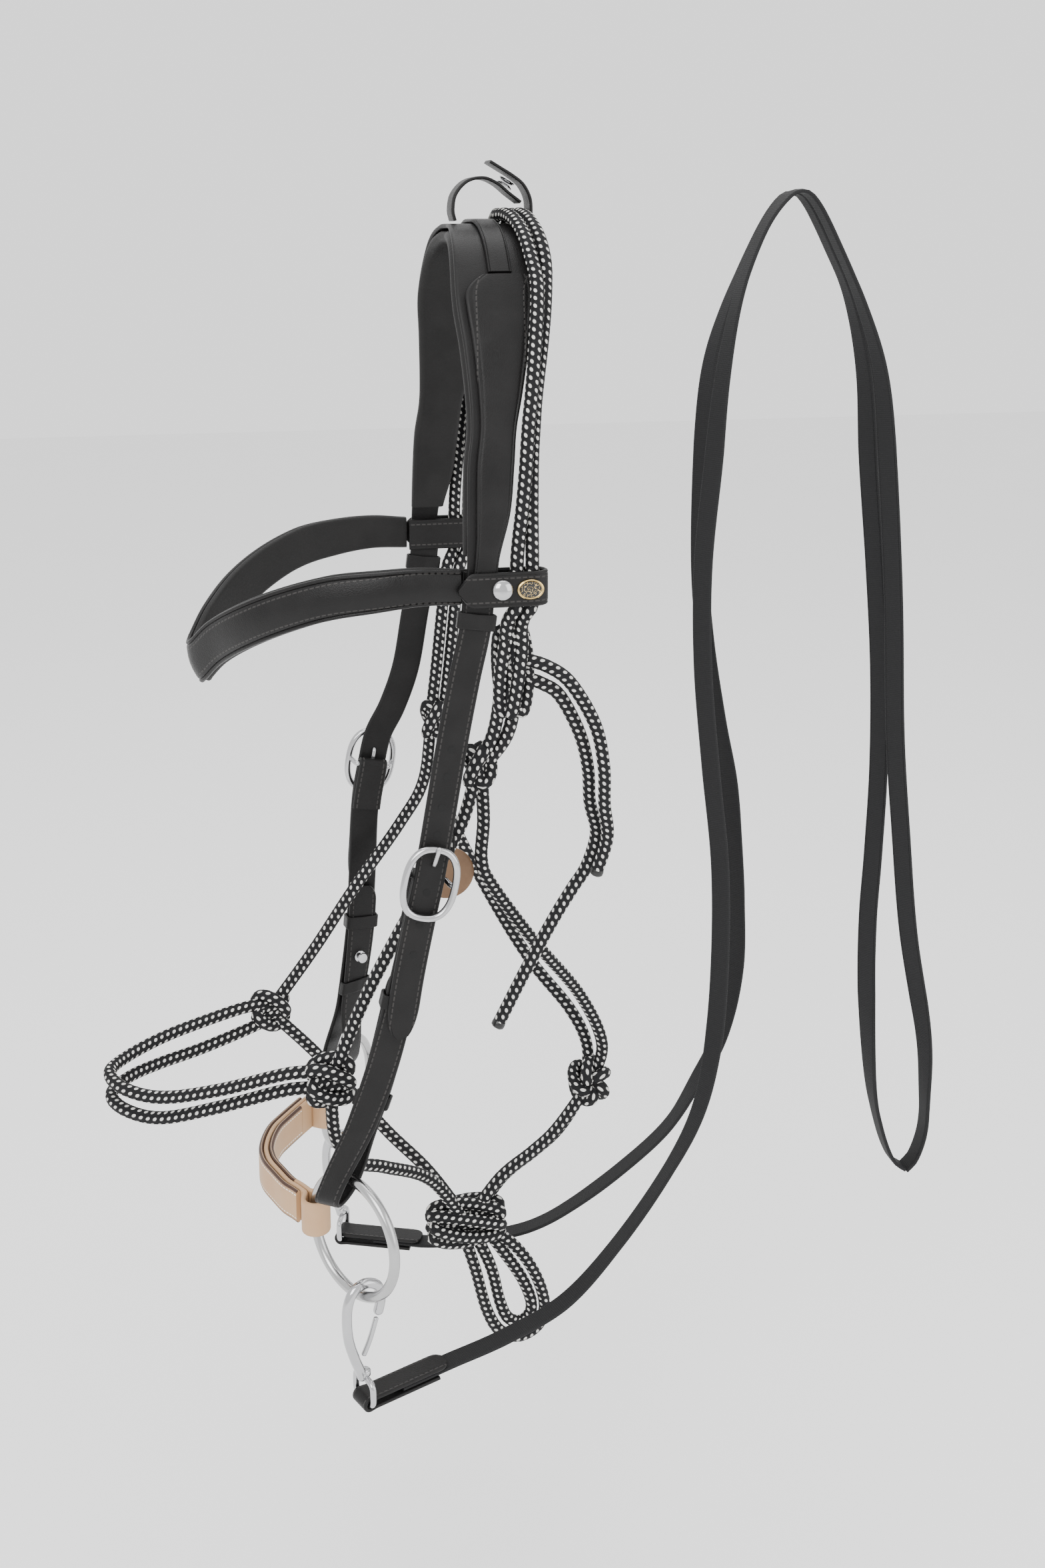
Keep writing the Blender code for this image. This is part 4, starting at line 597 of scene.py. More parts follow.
def metal(name, colour, roughness):
    """Polished metal with faint smears in its shine."""
    made = Finish(name, colour, roughness, 1.0)
    smear = made.noise(120.0, 3.0)
    made.colour(made.blend(smear, colour, tuple(c * 0.86 for c in colour)))
    made.rough(roughness + 0.10 * (smear - 0.4))
    made.bump(made.noise(60.0, 2.0), 0.03, 0.0005)
    return made.material


def tan_leather(name, face, edge, thread, half):
    """Undyed leather: pale face, burnished brown at the edges, pale stitches inside them."""
    made = Finish(name, face, 0.5)
    across, along = made.along()
    fibre = made.noise(180.0, 5.0, 0.65)
    blotch = made.noise(38.0, 3.0)
    warm = tuple(min(1, c * f) for c, f in zip(face, (0.82, 0.70, 0.58)))
    base = made.blend(blotch, face, warm)
    rim = 1 - across.size().below(half - 0.16, 0.05)
    line = (across.size() - (half - 0.30)).size().below(0.030, 0.012)
    thread_on = line * ((along / 0.26).fraction() - 0.5).size().below(0.32, 0.05)
    base = made.blend(thread_on, base, thread)
    base = made.blend(rim, base, made.blend(fibre, edge, tuple(c * 0.45 for c in edge)))
    made.colour(base)
    made.rough(0.52 - 0.16 * rim + 0.15 * (fibre - 0.5))
    made.bump(0.5 * fibre + 1.2 * thread_on - 0.8 * (line - thread_on), 0.4, 0.0004)
    return made.material


# --- lines that straps follow ---------------------------------------------------------------
class Line:
    """A strap's middle line with its along, out and across directions at every point."""

    def __init__(self, path, out, across):
        self.path, self.out, self.across = path, out, across
        self.along = tangents(path)
        self.s = length_along(path)
        self.length = self.s[-1]

    def _read(self, values, s):
        return np.stack([np.interp(s, self.s, values[:, k]) for k in range(3)], -1)

    def frame(self, s):
        s = np.asarray(s, float)
        past = s - np.clip(s, 0, self.length)
        along = unit(self._read(self.along, s))
        return (self._read(self.path, s) + along * past[..., None], along,
                unit(self._read(self.out, s)), unit(self._read(self.across, s)))

    def place(self, s, q, w=0.0):
        point, _, out, across = self.frame(s)
        return point + out * np.asarray(q)[..., None] + across * np.asarray(w)[..., None]

    def at_height(self, z):
        return self.frame(np.interp(-z, -self.path[:, 2], self.s))


def side_line(route, sign, step=0.003):
    path = spline([(x, sign * out, z) for x, out, z in route], step)
    t = tangents(path)
    outward = np.array((0.0, sign, 0.0))
    out = unit(outward - t * (t @ outward)[:, None])
    across = np.cross(t, out)
    return Line(path, out, across * np.where(across[:, :1] < 0, -1, 1))


def cheek_line(side):
    sign = SIDES[side]
    line = side_line(CHEEK[side], sign)
    hold = unit(np.array((RING_HOLD[0], sign * RING_HOLD[1], RING_HOLD[2])))
    turn = np.clip((np.linspace(0, 1, len(line.path)) - 0.35) / 0.65, 0, 1)[:, None] ** 1.3
    across = unit(line.across * (1 - turn) + hold * turn)
    out = line.out - line.along * np.sum(line.out * line.along, 1)[:, None]
    out = unit(out - across * np.sum(out * across, 1)[:, None])
    return Line(line.path, out, across)


def run_strap(name, middle, across, half, thickness, material, face, **more):
    """A strap along any path: its outer face is square to the path and to its width, and
    is on the side that face points to at the middle of the path."""
    across = np.broadcast_to(np.asarray(across, float), middle.shape)
    out = unit(np.cross(across, tangents(middle)))
    mid = len(middle) // 2
    if np.dot(out[mid], face[mid] if np.ndim(face) == 2 else face) < 0:
        out = -out
    return strap(name, middle, across, out, half, thickness, material, **more)


def arch_at(length, lift):
    """Points over the poll at signed arch lengths, lifted along the arch's outward normal."""
    side = np.where(np.asarray(length) < 0, -1, 1)
    path = np.vstack([[0, 0, 0], spline([(0, y, z) for y, z in ARCH], 0.001)])
    along = tangents(path)
    s = length_along(path)
    at = np.abs(length)
    flat = (at <= 0.012)
    ny = np.where(flat, 0, -np.interp(at, s, along[:, 2]))
    nz = np.where(flat, 1, np.interp(at, s, along[:, 1]))
    y = np.interp(at, s, path[:, 1]) + ny * lift
    z = np.interp(at, s, path[:, 2]) + nz * lift
    normal = np.stack([np.zeros_like(y), side * ny, nz], -1)
    return np.stack([np.zeros_like(y), side * y, z], -1), unit(normal)


def read_table(table, at):
    """Values of a table at the places between its rows, along a smooth curve."""
    dense = spline(table, 0.0005)
    return [np.interp(np.abs(at), dense[:, 0], dense[:, k]) for k in range(1, dense.shape[1])]


def crown_piece(name, lengths, lift, thickness, material, edges, **more):
    middle, normal = arch_at(lengths, lift)
    front, rear = edges(lengths)
    middle[:, 0] += (front + rear) / 2
    return strap(name, middle, np.tile((1.0, 0, 0), (len(lengths), 1)), normal,
                 (rear - front) / 2, thickness, material, **more)


def crown_route(table, shift):
    rows = spline(table, 0.004)
    s = np.concatenate([-rows[::-1, 0], rows[1:, 0]])
    lift = np.concatenate([rows[::-1, 1], rows[1:, 1]])
    x = np.concatenate([rows[::-1, 2], rows[1:, 2]])
    points = np.stack([arch_at(a, b)[0] for a, b in zip(s, lift)]) + np.stack([x, x * 0, x * 0], 1)
    near = np.array(CROWN_NEAR_TAIL) + (shift, 0, 0)
    far = np.array(CROWN_FAR_TAIL) + (shift, 0, 0)
    return spline(np.vstack([near, points[::3], far]), 0.0011)


def ring_axes(side):
    sign = SIDES[side]
    return (np.array((math.cos(RING_YAW), sign * math.sin(RING_YAW), 0)),
            np.array((-math.sin(RING_YAW), sign * math.cos(RING_YAW), 0)))


def ring_point(side, angle, reach=0.0):
    across, _ = ring_axes(side)
    radius = RING_RADIUS + reach
    return (np.array(RING_CENTRE[side])
            + (across * math.sin(angle) + np.array((0, 0, 1)) * math.cos(angle)) * radius)


def circle(centre, a, b, count=96, power=1.0):
    """A closed ring: centre + a cos t + b sin t, squared off as the power falls below one."""
    t = 2 * math.pi * np.arange(count) / count
    c, s = np.cos(t), np.sin(t)
    return (np.asarray(centre) + a * (np.sign(c) * np.abs(c) ** power)[:, None]
            + b * (np.sign(s) * np.abs(s) ** power)[:, None])


def loop_band(name, frame, half, low, high, length, thickness, material):
    """A flat keeper round a strap: a rounded rectangle in the plane square to the strap."""
    point, along, out, across = frame
    grow = thickness / 2
    middle = point + out * (low + high) / 2
    path = circle(middle, across * (half + grow), out * ((high - low) / 2 + grow), 64, 0.25)
    path = resample(np.vstack([path, path[:1]]), count=81)[:-1]
    outward = unit(path - middle - along * ((path - middle) @ along)[:, None])
    return strap(name, path, np.tile(along, (80, 1)), outward, length / 2, thickness, material,
                 closed=True)


# --- settings -------------------------------------------------------------------------------
def size(name, default, description):
    return FloatProperty(name=name, description=description, default=default, min=0.0001,
                         max=1.0, subtype="DISTANCE", unit="LENGTH")


def paint(name, default, description):
    return FloatVectorProperty(name=name, description=description, default=default, size=3,
                               min=0.0, max=1.0, subtype="COLOR")


class HalterSizes(bpy.types.PropertyGroup):
    rope: size("Rope", 0.0075, "Diameter of the braided rope")
    strap: size("Strap", 0.0175, "Width of the cheek straps")
    rein: size("Rein", 0.013, "Width of the reins' webbing")
    wire: size("Ring wire", 0.006, "Diameter of the wire of the two large rings")
    buckle: size("Buckle wire", 0.004, "Diameter of the wire of the buckles' frames")
    tag: size("Tag", 0.030, "Diameter of the hanging tag")


class HalterColours(bpy.types.PropertyGroup):
    leather: paint("Leather", (0.0045, 0.0042, 0.0042), "Colour of the black leather")
    padding: paint("Padding", (0.0060, 0.0057, 0.0056), "Colour of the soft lining leather")
    thread: paint("Thread", (0.030, 0.028, 0.027), "Colour of the stitches in the black leather")
    tan: paint("Tan", (0.50, 0.33, 0.19), "Colour of the noseband's undyed leather")
    edge: paint("Edge", (0.060, 0.022, 0.010), "Colour of the noseband's burnished edges")
    cord: paint("Rope", (0.0055, 0.0055, 0.0060), "Dark colour of the rope")
    fleck: paint("Fleck", (0.66, 0.65, 0.62), "Colour of the flecks in the rope")
    webbing: paint("Webbing", (0.0060, 0.0060, 0.0063), "Colour of the reins")
    chrome: paint("Chrome", (0.50, 0.50, 0.51), "Colour of the buckles, snaps and studs")
    steel: paint("Steel", (0.46, 0.46, 0.46), "Colour of the two large rings")
    brass: paint("Brass", (0.62, 0.44, 0.17), "Colour of the badge's rim")
    tag: paint("Tag", (0.20, 0.105, 0.048), "Colour of the hanging tag")


def settings():
    return bpy.context.scene.halter_sizes, bpy.context.scene.halter_colours


def shared(name, make):
    """A material by name, made the first time that it is asked for."""
    return bpy.data.materials.get(name) or make()


def black_leather():
    c = settings()[1]
    return shared("black leather", lambda: leather("black leather", tuple(c.leather), 0.42,
                                                   tuple(c.thread), 0.64))


def plain_leather():
    c = settings()[1]
    return shared("plain leather", lambda: leather("plain leather", tuple(c.leather), 0.38))


def soft_leather():
    c = settings()[1]
    return shared("soft leather", lambda: leather("soft leather", tuple(c.padding), 0.50,
                                                  grain=620.0))


def chrome():
    return shared("chrome", lambda: metal("chrome", tuple(settings()[1].chrome), 0.12))


def rope_material():
    c = settings()[1]
    return shared("braided rope", lambda: braided("braided rope", tuple(c.cord), tuple(c.fleck)))


# --- operators ------------------------------------------------------------------------------
class Maker:
    bl_options = {"REGISTER", "UNDO"}

    def execute(self, context):
        self.make(*settings())
        return {"FINISHED"}


class MakeHeadpiece(Maker, bpy.types.Operator):
    """Make the padded headpiece, its leather, the two overlays and the poll strap"""
    bl_idname = "halter.headpiece"
    bl_label = "Headpiece"

    def make(self, sizes, colours):
        grid = lambda last: np.linspace(-last, last, 181)
        pad = crown_piece("piece_padding", grid(0.199), 0.004, 0.0074, soft_leather(),
                          lambda s: (read_table(CROWN_EDGES, s)[0] - 0.0012,
                                     read_table(CROWN_EDGES, s)[1] + 0.0012),
                          nodes=("headpiece_padding",), crease=0.0010)
        crown_piece("piece_headpiece", grid(0.222), 0.0098, 0.003, plain_leather(),
                    lambda s: read_table(CROWN_EDGES, s), nodes=("headpiece_leather",))
        thread = leather("overlay leather", tuple(colours.leather), 0.36, tuple(colours.thread),
                         1.30)

        def overlay(s):
            front, rear = read_table(CROWN_EDGES, s)
            inset = 0.0045 - 0.002 * np.clip((np.abs(s) - 0.19) / 0.03, 0, 1)
            nose = np.clip(0.012 - (np.abs(s) - 0.054), 0, None) / 0.012
            return front + inset + 0.010 * nose ** 2, rear - 0.0003 - 0.004 * nose ** 2

        for side, sign in SIDES.items():
            crown_piece("piece_overlay_" + side, sign * np.linspace(0.054, 0.2215, 90), 0.01275,
                        0.0025, thread, overlay, nodes=("headpiece_overlay_" + side,),
                        crease=0.0003, crown=0.0004)
        crown_piece("piece_poll_strap", np.linspace(-0.0525, 0.0525, 90), 0.01275, 0.0025,
                    plain_leather(), lambda s: (-0.0125 + 0 * s, 0.0005 + 0 * s),
                    nodes=("poll_strap",), crease=0.0005)


class MakeRopeKeeper(Maker, bpy.types.Operator):
    """Make the snapped loop that holds the rope on the headpiece"""
    bl_idname = "halter.rope_keeper"
    bl_label = "Rope keeper"

    def make(self, sizes, colours):
        for name, route, body in (("front", KEEPER_FRONT, "bridle"),
                                  ("rear", KEEPER_REAR, "keeper_flap")):
            path = spline(route, 0.0008)
            run_strap("piece_keeper_" + name, path, (0.0, 1.0, 0.0), 0.008, 0.0018,
                      plain_leather(), (0, 0, 1), body=body, nodes=("keeper_strap_" + name,),
                      crease=0.0002)
        axis = unit(np.array((0.53, 0, 0.85)))
        middle = np.array((0.0093, 0, 0.0338))
        cap = [(0.0001, 0.0), (0.0049, 0.0), (0.0048, 0.0004), (0.0034, 0.0014), (0.0001, 0.0016)]
        turned("piece_press_stud", cap, middle + axis * 0.0018, -axis, chrome(), "keeper_flap",
               ("press_stud",))
        turned("piece_press_socket", cap, middle - axis * 0.0019, axis, chrome())


class MakeBrowband(Maker, bpy.types.Operator):
    """Make the browband's face and padded lining, its end tabs, studs and badge"""
    bl_idname = "halter.browband"
    bl_label = "Browband"

    def make(self, sizes, colours):
        far = spline(BROWBAND, count=70)
        half = np.interp(np.linspace(0, 1, 70), np.linspace(0, 1, 9), BROWBAND_HALF)
        path = np.vstack([far * (1, -1, 1), far[-2::-1]])
        half = np.concatenate([half, half[-2::-1]])
        path[68:71, 2] = path[68:71, 2].mean() * 0.5 + path[68:71, 2] * 0.5
        front = np.clip((-path[:, 0] - 0.11) / 0.06, 0, 1)
        across = unit(np.stack([0.30 * front, front * 0, front * 0 - 1], 1))
        out = unit(np.cross(across, tangents(path)))
        out = out * np.where(out[len(path) // 2, 0] > 0, -1, 1)
        face = leather("browband leather", tuple(colours.leather), 0.30, tuple(colours.thread),
                       0.80)
        strap("piece_browband", path + out * 0.00165, across, out, half, 0.003, face,
              nodes=("browband_face",), crease=0.0006, crown=0.0016)
        lining = strap("piece_browband_lining", path - out * 0.0024, across, out, half * 1.04,
                       0.0045, soft_leather(), nodes=("browband_lining",))
        room, thick = 0.0112, 0.0025
        radius = (room + thick) / 2
        turn = np.linspace(0, math.pi, 25)
        badge = finish_of("badge enamel", colours)
        for side, sign in SIDES.items():
            outer = np.linspace(-0.0375, 0.0030, 40)
            x = np.concatenate([outer, 0.0045 + radius * np.sin(turn),
                                np.linspace(0.003, -0.0345, 30)])
            y = np.concatenate([outer * 0 + 0.0951, 0.0951 - radius + radius * np.cos(turn),
                                np.full(30, 0.0951 - 2 * radius)])
            path = np.stack([x, sign * y, x * 0 - 0.18], 1)
            point = np.clip((x - (-0.0375)) / 0.009, 0, 1)
            half = np.where(y > 0.095, 0.0095 * (0.14 + 0.86 * np.sin(point * math.pi / 2)),
                            0.0095)
            run_strap("piece_tab_" + side, path, (0.0, 0.0, 1.0), half, thick, black_leather(),
                      np.tile((1.0, 0, 0), (len(path), 1)), nodes=("browband_tab_" + side,),
                      crease=0.0003)
            dome = [(0.0001, 0.0), (0.00575, 0.0), (0.0055, 0.0006), (0.0048, 0.0014),
                    (0.003, 0.0023), (0.0015, 0.00255), (0.0001, 0.0026)]
            turned("piece_stud_" + side, dome, (-0.0138, sign * 0.09665, -0.18), (0, sign, 0),
                   chrome(), nodes=("browband_stud_" + side,))
        brass = shared("brass", lambda: metal("brass", tuple(colours.brass), 0.22))
        plate = [(0.0001, 0.0), (0.00725, 0.0), (0.0072, 0.0009), (0.0064, 0.0013),
                 (0.0060, 0.0009), (0.0001, 0.0009)]
        turned("piece_badge", plate, (0.0012, -0.09665, -0.18), (0, -1, 0), brass,
               nodes=("browband_badge",), oval=(1.0, 0.76))
        turned("piece_badge_face", [(0.0001, 0.0), (0.0059, 0.0), (0.0058, 0.00022),
                                    (0.0001, 0.0003)], (0.0012, -0.09758, -0.18), (0, -1, 0),
               badge, oval=(1.0, 0.74))


def finish_of(name, colours):
    """Dark glossy enamel with a faint gold scroll of noise; it carries no lettering."""
    made = Finish(name, (0.004, 0.004, 0.004), 0.15, 0.0, Coat_Weight=0.6)
    scroll = made.noise(520.0, 1.0)
    line = (scroll - 0.5).size().below(0.018, 0.010)
    made.colour(made.blend(line, (0.004, 0.004, 0.004), tuple(colours.brass)))
    return made.material


class MakeCheeks(Maker, bpy.types.Operator):
    """Make the billets, cheek straps, keepers, studs, buckles and tongues of both sides"""
    bl_idname = "halter.cheeks"
    bl_label = "Cheeks"

    def make(self, sizes, colours):
        half = sizes.strap / 2
        # A near-black matte finish for the hole discs: painted shade standing in for the open
        # punched holes.
        dark = shared("painted hole shade", lambda: Finish("painted hole shade", (0.001, 0.001, 0.001),
                                                     0.9).material)
        holes = {"near": (-0.268, -0.283, -0.300, -0.315, -0.347, -0.365, -0.382),
                 "far": (-0.250, -0.266, -0.282, -0.298, -0.335, -0.352, -0.369)}
        for side, sign in SIDES.items():
            billet = side_line(BILLET[side], sign, 0.0022)
            tip = np.clip((billet.length - billet.s) / 0.022, 0, 1)
            strap("piece_billet_" + side, billet.path, billet.across, billet.out,
                  half * (0.22 + 0.78 * np.sqrt(1 - (1 - tip) ** 2)), 0.0028, black_leather(),
                  nodes=("cheek_billet_" + side,), crease=0.0003)
            # Each punched hole is drawn as a thin near-black disc just above the billet's face:
            # painted shade in place of a real hole through the strap.
            for i, z in enumerate(holes[side]):
                point, _, out, _ = billet.at_height(z)
                turned(f"piece_hole_{side}_{i}", [(0.0001, 0.0), (0.0021, 0.0), (0.0021, 0.0001),
                                                  (0.0001, 0.00012)], point + out * 0.00145, out,
                       dark, sides=20)
            loop_band("piece_top_keeper_" + side, billet.at_height(-0.1985), half + GAP, -0.0018,
                      0.0018, 0.009, 0.0016, plain_leather())
            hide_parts("headpiece_keeper_" + side)
            self.cheek(side, half, sizes)

    def cheek(self, side, half, sizes):
        line = cheek_line(side)
        outer, inner = 0.0031, -0.0019
        bend = 0.0080 + 0.0013
        middle = line.length + 0.0054
        start = middle - 0.042
        turn = np.linspace(-math.pi, 0, 20)
        back = np.linspace(0, math.pi, 26)
        ease = 0.5 - 0.5 * np.cos(math.pi * np.linspace(0, 1, 16)[1:-1])
        flare = start + 0.042 * np.linspace(0, 1, 16)[1:-1]
        tip = {"near": 0.055, "far": 0.080}[side]
        s = np.concatenate([np.linspace(0.028, 0.001, 10), outer * np.sin(turn),
                            np.linspace(0.002, start, 50), flare, middle + bend * np.sin(back),
                            flare[::-1], np.linspace(start, tip, 34)])
        q = np.concatenate([np.full(10, -outer), outer * np.cos(turn), np.full(50, outer),
                            outer + (bend - outer) * ease, bend * np.cos(back),
                            (inner - (bend + inner) * ease)[::-1], np.full(34, inner)])
        path = line.place(s, q)
        _, _, out, across = line.frame(s)
        width = np.full(len(s), half)
        width[-4:] *= (0.97, 0.9, 0.75, 0.5)
        face = np.tile(out[50], (len(s), 1))
        normal = unit(np.cross(across, tangents(path)))
        if normal[50] @ face[50] < 0:
            normal = -normal
        strap("piece_cheek_" + side, path, across, normal, width, 0.0026, black_leather(),
              nodes=("cheek_strap_" + side,), crease=0.0003)
        for i, at in enumerate({"near": (0.072, 0.132), "far": (0.104, 0.147)}[side]):
            loop_band(f"piece_keeper_{side}_{i}", line.frame(at), half + GAP,
                      -0.0036, 0.0048 if i == 0 else -0.0002, 0.008, 0.0014, plain_leather())
        at = {"near": 0.100, "far": 0.127}[side]
        point, _, out, _ = line.frame(at)
        turned("piece_hook_stud_" + side, [(0.0001, 0.0), (0.0036, 0.0), (0.0036, 0.0008),
                                           (0.0016, 0.0014), (0.0015, 0.0034), (0.0033, 0.0042),
                                           (0.0030, 0.0050), (0.0001, 0.0052)],
               point + out * (inner - 0.0014), -out, chrome())
        self.buckle(side, line, sizes)

    def buckle(self, side, line, sizes):
        wire = sizes.buckle
        point, along, out, across = line.frame(0.0)
        lift = 0.0031 + 0.0013 + 0.0009 + 0.003 + 0.0006 + wire / 2
        long_half, wide_half = 0.0195, 0.014
        sweep("piece_buckle_" + side, circle(point + out * lift, along * long_half,
                                             across * wide_half, 120, 0.8),
              wire / 2, chrome(), closed=True, nodes=("buckle_frame_" + side,))
        leg = wide_half - wire / 2 - 0.0015 + 0.0008
        bar = [(wide_half, lift), (leg + 0.0008, lift * 0.72), (leg, lift * 0.35),
               (leg - 0.0008, 0.0008), (leg - 0.0030, 0.0), (0.0, 0.0)]
        bar = bar + [(-w, q) for w, q in bar[-2::-1]]
        sweep("piece_bar_" + side, spline([point + across * w + out * q for w, q in bar], 0.0006),
              0.0015, chrome())
        over, root, rise = lift + wire / 2 + GAP + 0.0012, 0.0030, 0.0098
        pin = [(0.0, root), (-0.0045, root), (-rise + 0.0012, root + 0.0003),
               (-rise + 0.0001, root + 0.0014), (-rise - 0.0001, lift - 0.0022),
               (-rise - 0.0016, lift + 0.0004), (-long_half + 0.0035, over - 0.0012),
               (-long_half, over), (-long_half - 0.0030, over)]
        sweep("piece_tongue_" + side, spline([point + along * s + out * q for s, q in pin],
                                             0.0006),
              0.0012, chrome(), body="tongue_" + side, nodes=("buckle_tongue_" + side,))


class MakeNoseband(Maker, bpy.types.Operator):
    """Make the two large rings and the noseband's strap, stitched panel and lining"""
    bl_idname = "halter.noseband"
    bl_label = "Rings and noseband"

    def make(self, sizes, colours):
        steel = shared("ring steel", lambda: metal("ring steel", tuple(colours.steel), 0.20))
        for side in SIDES:
            across, _ = ring_axes(side)
            sweep("piece_ring_" + side,
                  circle(RING_CENTRE[side], across * RING_RADIUS, np.array((0, 0, RING_RADIUS)),
                         160), sizes.wire / 2, steel, sides=28, closed=True,
                  body="ring_" + side, nodes=("ring_" + side,))
        path = spline(NOSEBAND, 0.0015)
        t = tangents(path)
        up = unit(np.array((0, 0, 1.0)) - t * t[:, 2:])
        line = Line(path, np.cross(up, t), up)
        ply = 0.0031
        near, far = self.ring_turn("near", line, 0.0, ply), self.ring_turn("far", line,
                                                                          line.length, ply)
        ends = np.linspace(0.0135, 0, 8)
        middle = np.linspace(0, line.length, 90)
        course = np.vstack([line.place(ends, ends * 0 - ply), near[::-1],
                            line.place(middle, middle * 0), far,
                            line.place(line.length - ends[::-1], ends * 0 - ply)])
        course = resample(course, 0.0015)
        face = tan_leather("tan leather", tuple(colours.tan), tuple(colours.edge),
                           (0.80, 0.76, 0.68), 9.9)
        stitched = tan_leather("stitched tan leather", tuple(colours.tan), tuple(colours.edge),
                               (0.85, 0.82, 0.76), 1.025)
        run_strap("piece_noseband", course, (0, 0, 1.0), 0.01025, 0.0028, face, (-1.0, 0, 0),
                  under=0.0, nodes=("noseband_strap",))
        outside = np.linspace(0.003, line.length - 0.003, 90)
        run_strap("piece_noseband_panel", line.place(outside, outside * 0 + ply), (0, 0, 1.0),
                  0.0100, 0.0028, stitched, (-1.0, 0, 0), under=0.0, crease=0.0003,
                  nodes=("noseband_panel",))
        inside = np.linspace(0.0138, line.length - 0.0138, 80)
        run_strap("piece_noseband_lining", line.place(inside, inside * 0 - ply), (0, 0, 1.0),
                  0.01025, 0.0028, stitched, (1.0, 0, 0), under=0.0,
                  nodes=("noseband_lining",))

    def ring_turn(self, side, line, s, ply):
        """Leather that leaves the band, turns round the ring's wire and comes back inside."""
        start, back = line.place(s, 0.0), line.place(s, -ply)
        wire = ring_point(side, -math.pi / 2, -0.0010)
        wire[2] = start[2]
        away = unit(wire - (start + back) / 2)
        aside = start - back
        aside = unit(aside - away * (aside @ away))
        ends = []
        for place, sign in ((start, 1), (back, -1)):
            reach = place - wire
            bearing = math.atan2(reach @ aside, reach @ away)
            ends.append(bearing - sign * math.acos(min(1, 0.0069 / np.linalg.norm(reach))))
        turn = np.linspace(ends[0], ends[1], 40)[:, None]
        return wire + (away * np.cos(turn) + aside * np.sin(turn)) * 0.0069


class MakeReins(Maker, bpy.types.Operator):
    """Make the two snaps with their gates, the rein ends and the webbing reins"""
    bl_idname = "halter.reins"
    bl_label = "Snaps and reins"

    def make(self, sizes, colours):
        web = shared("rein webbing", lambda: webbed("rein webbing", tuple(colours.webbing)))
        for side, sign in SIDES.items():
            body = "snap_" + side
            origin = ring_point(side, SNAP_ANGLE[side])
            fore = np.array((math.cos(SNAP_TURN), -sign * math.sin(SNAP_TURN), 0))
            flank = np.array((math.sin(SNAP_TURN), sign * math.cos(SNAP_TURN), 0))
            up = np.array((0, 0, 1.0))
            hook = spline([origin + fore * x + up * z for x, z in HOOK], 0.0007)
            sweep("piece_snap_" + side, hook, 0.0029, chrome(), sides=24, body=body,
                  nodes=("snap_body_" + side,))
            centre = origin + up * (EYE_TOP + EYE_BOTTOM) / 2
            sweep("piece_eye_" + side, circle(centre, flank * EYE_HALF,
                                              up * (EYE_TOP - EYE_BOTTOM) / 2, 80, 0.5),
                  0.0018, chrome(), closed=True, body=body)
            turned("piece_swivel_" + side, [(0.0001, 0.0), (0.0030, 0.0), (0.0036, 0.0006),
                                            (0.0036, 0.0030), (0.0030, 0.0036), (0.0001, 0.0036)],
                   origin + up * -0.0490, up, chrome(), body)
            sweep("piece_gate_" + side, spline([origin + fore * x + up * z for x, z in GATE],
                                               0.0006),
                  0.0015, chrome(), body="gate_" + side, nodes=("snap_gate_" + side,))
            radius, leg = 0.0018 + GAP + 0.0011, 0.00125 + GAP + 0.0011
            turn = np.linspace(0, math.pi, 24)
            run = np.linspace(0.0530, 0.004, 30)
            x = np.concatenate([run, -radius * np.sin(turn), run[::-1][:-4]])
            z = np.concatenate([np.full(30, leg), radius * np.cos(turn), np.full(26, -leg)])
            eye = origin + up * EYE_BOTTOM
            path = eye + fore * x[:, None] + up * z[:, None]
            half = np.full(len(x), 0.00725)
            half[:5] *= (0.5, 0.8, 0.94, 0.99, 1)
            run_strap("piece_rein_end_" + side, path, flank, half, 0.0022,
                      leather_of(colours), np.tile(-fore, (len(x), 1)), body=body,
                      nodes=("rein_end_" + side,))
            self.rein(side, eye, fore, flank, web, sizes)

    def rein(self, side, eye, fore, flank, web, sizes):
        path = spline([eye + fore * x for x in (0.0220, 0.0400, 0.0575)] + REINS[side], 0.004)
        if flank[1] < 0:
            flank = -flank
        hang = (np.clip((-0.02 - path[:, 2]) / 0.10, 0, 1)
                * np.clip((path[:, 2] + 0.56) / 0.08, 0, 1))[:, None] * math.radians(36)
        wide = np.concatenate([-np.sin(hang), np.cos(hang), hang * 0], 1)
        ease = np.clip((length_along(path)[:, None] - 0.052) / 0.104, 0, 1)
        t = tangents(path)
        wide = flank * (1 - ease) + wide * ease
        wide = unit(wide - t * np.sum(wide * t, 1)[:, None])
        rein = strap("piece_rein_" + side, path, wide, np.cross(wide, t), sizes.rein / 2,
                     0.0022, web, nodes=("rein_" + side,), crease=0.0004, body=None)
        "snap_" + side
        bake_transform(rein)


def leather_of(colours):
    return shared("rein leather", lambda: leather("rein leather", tuple(colours.leather), 0.42,
                                                  tuple(colours.thread), 0.56))


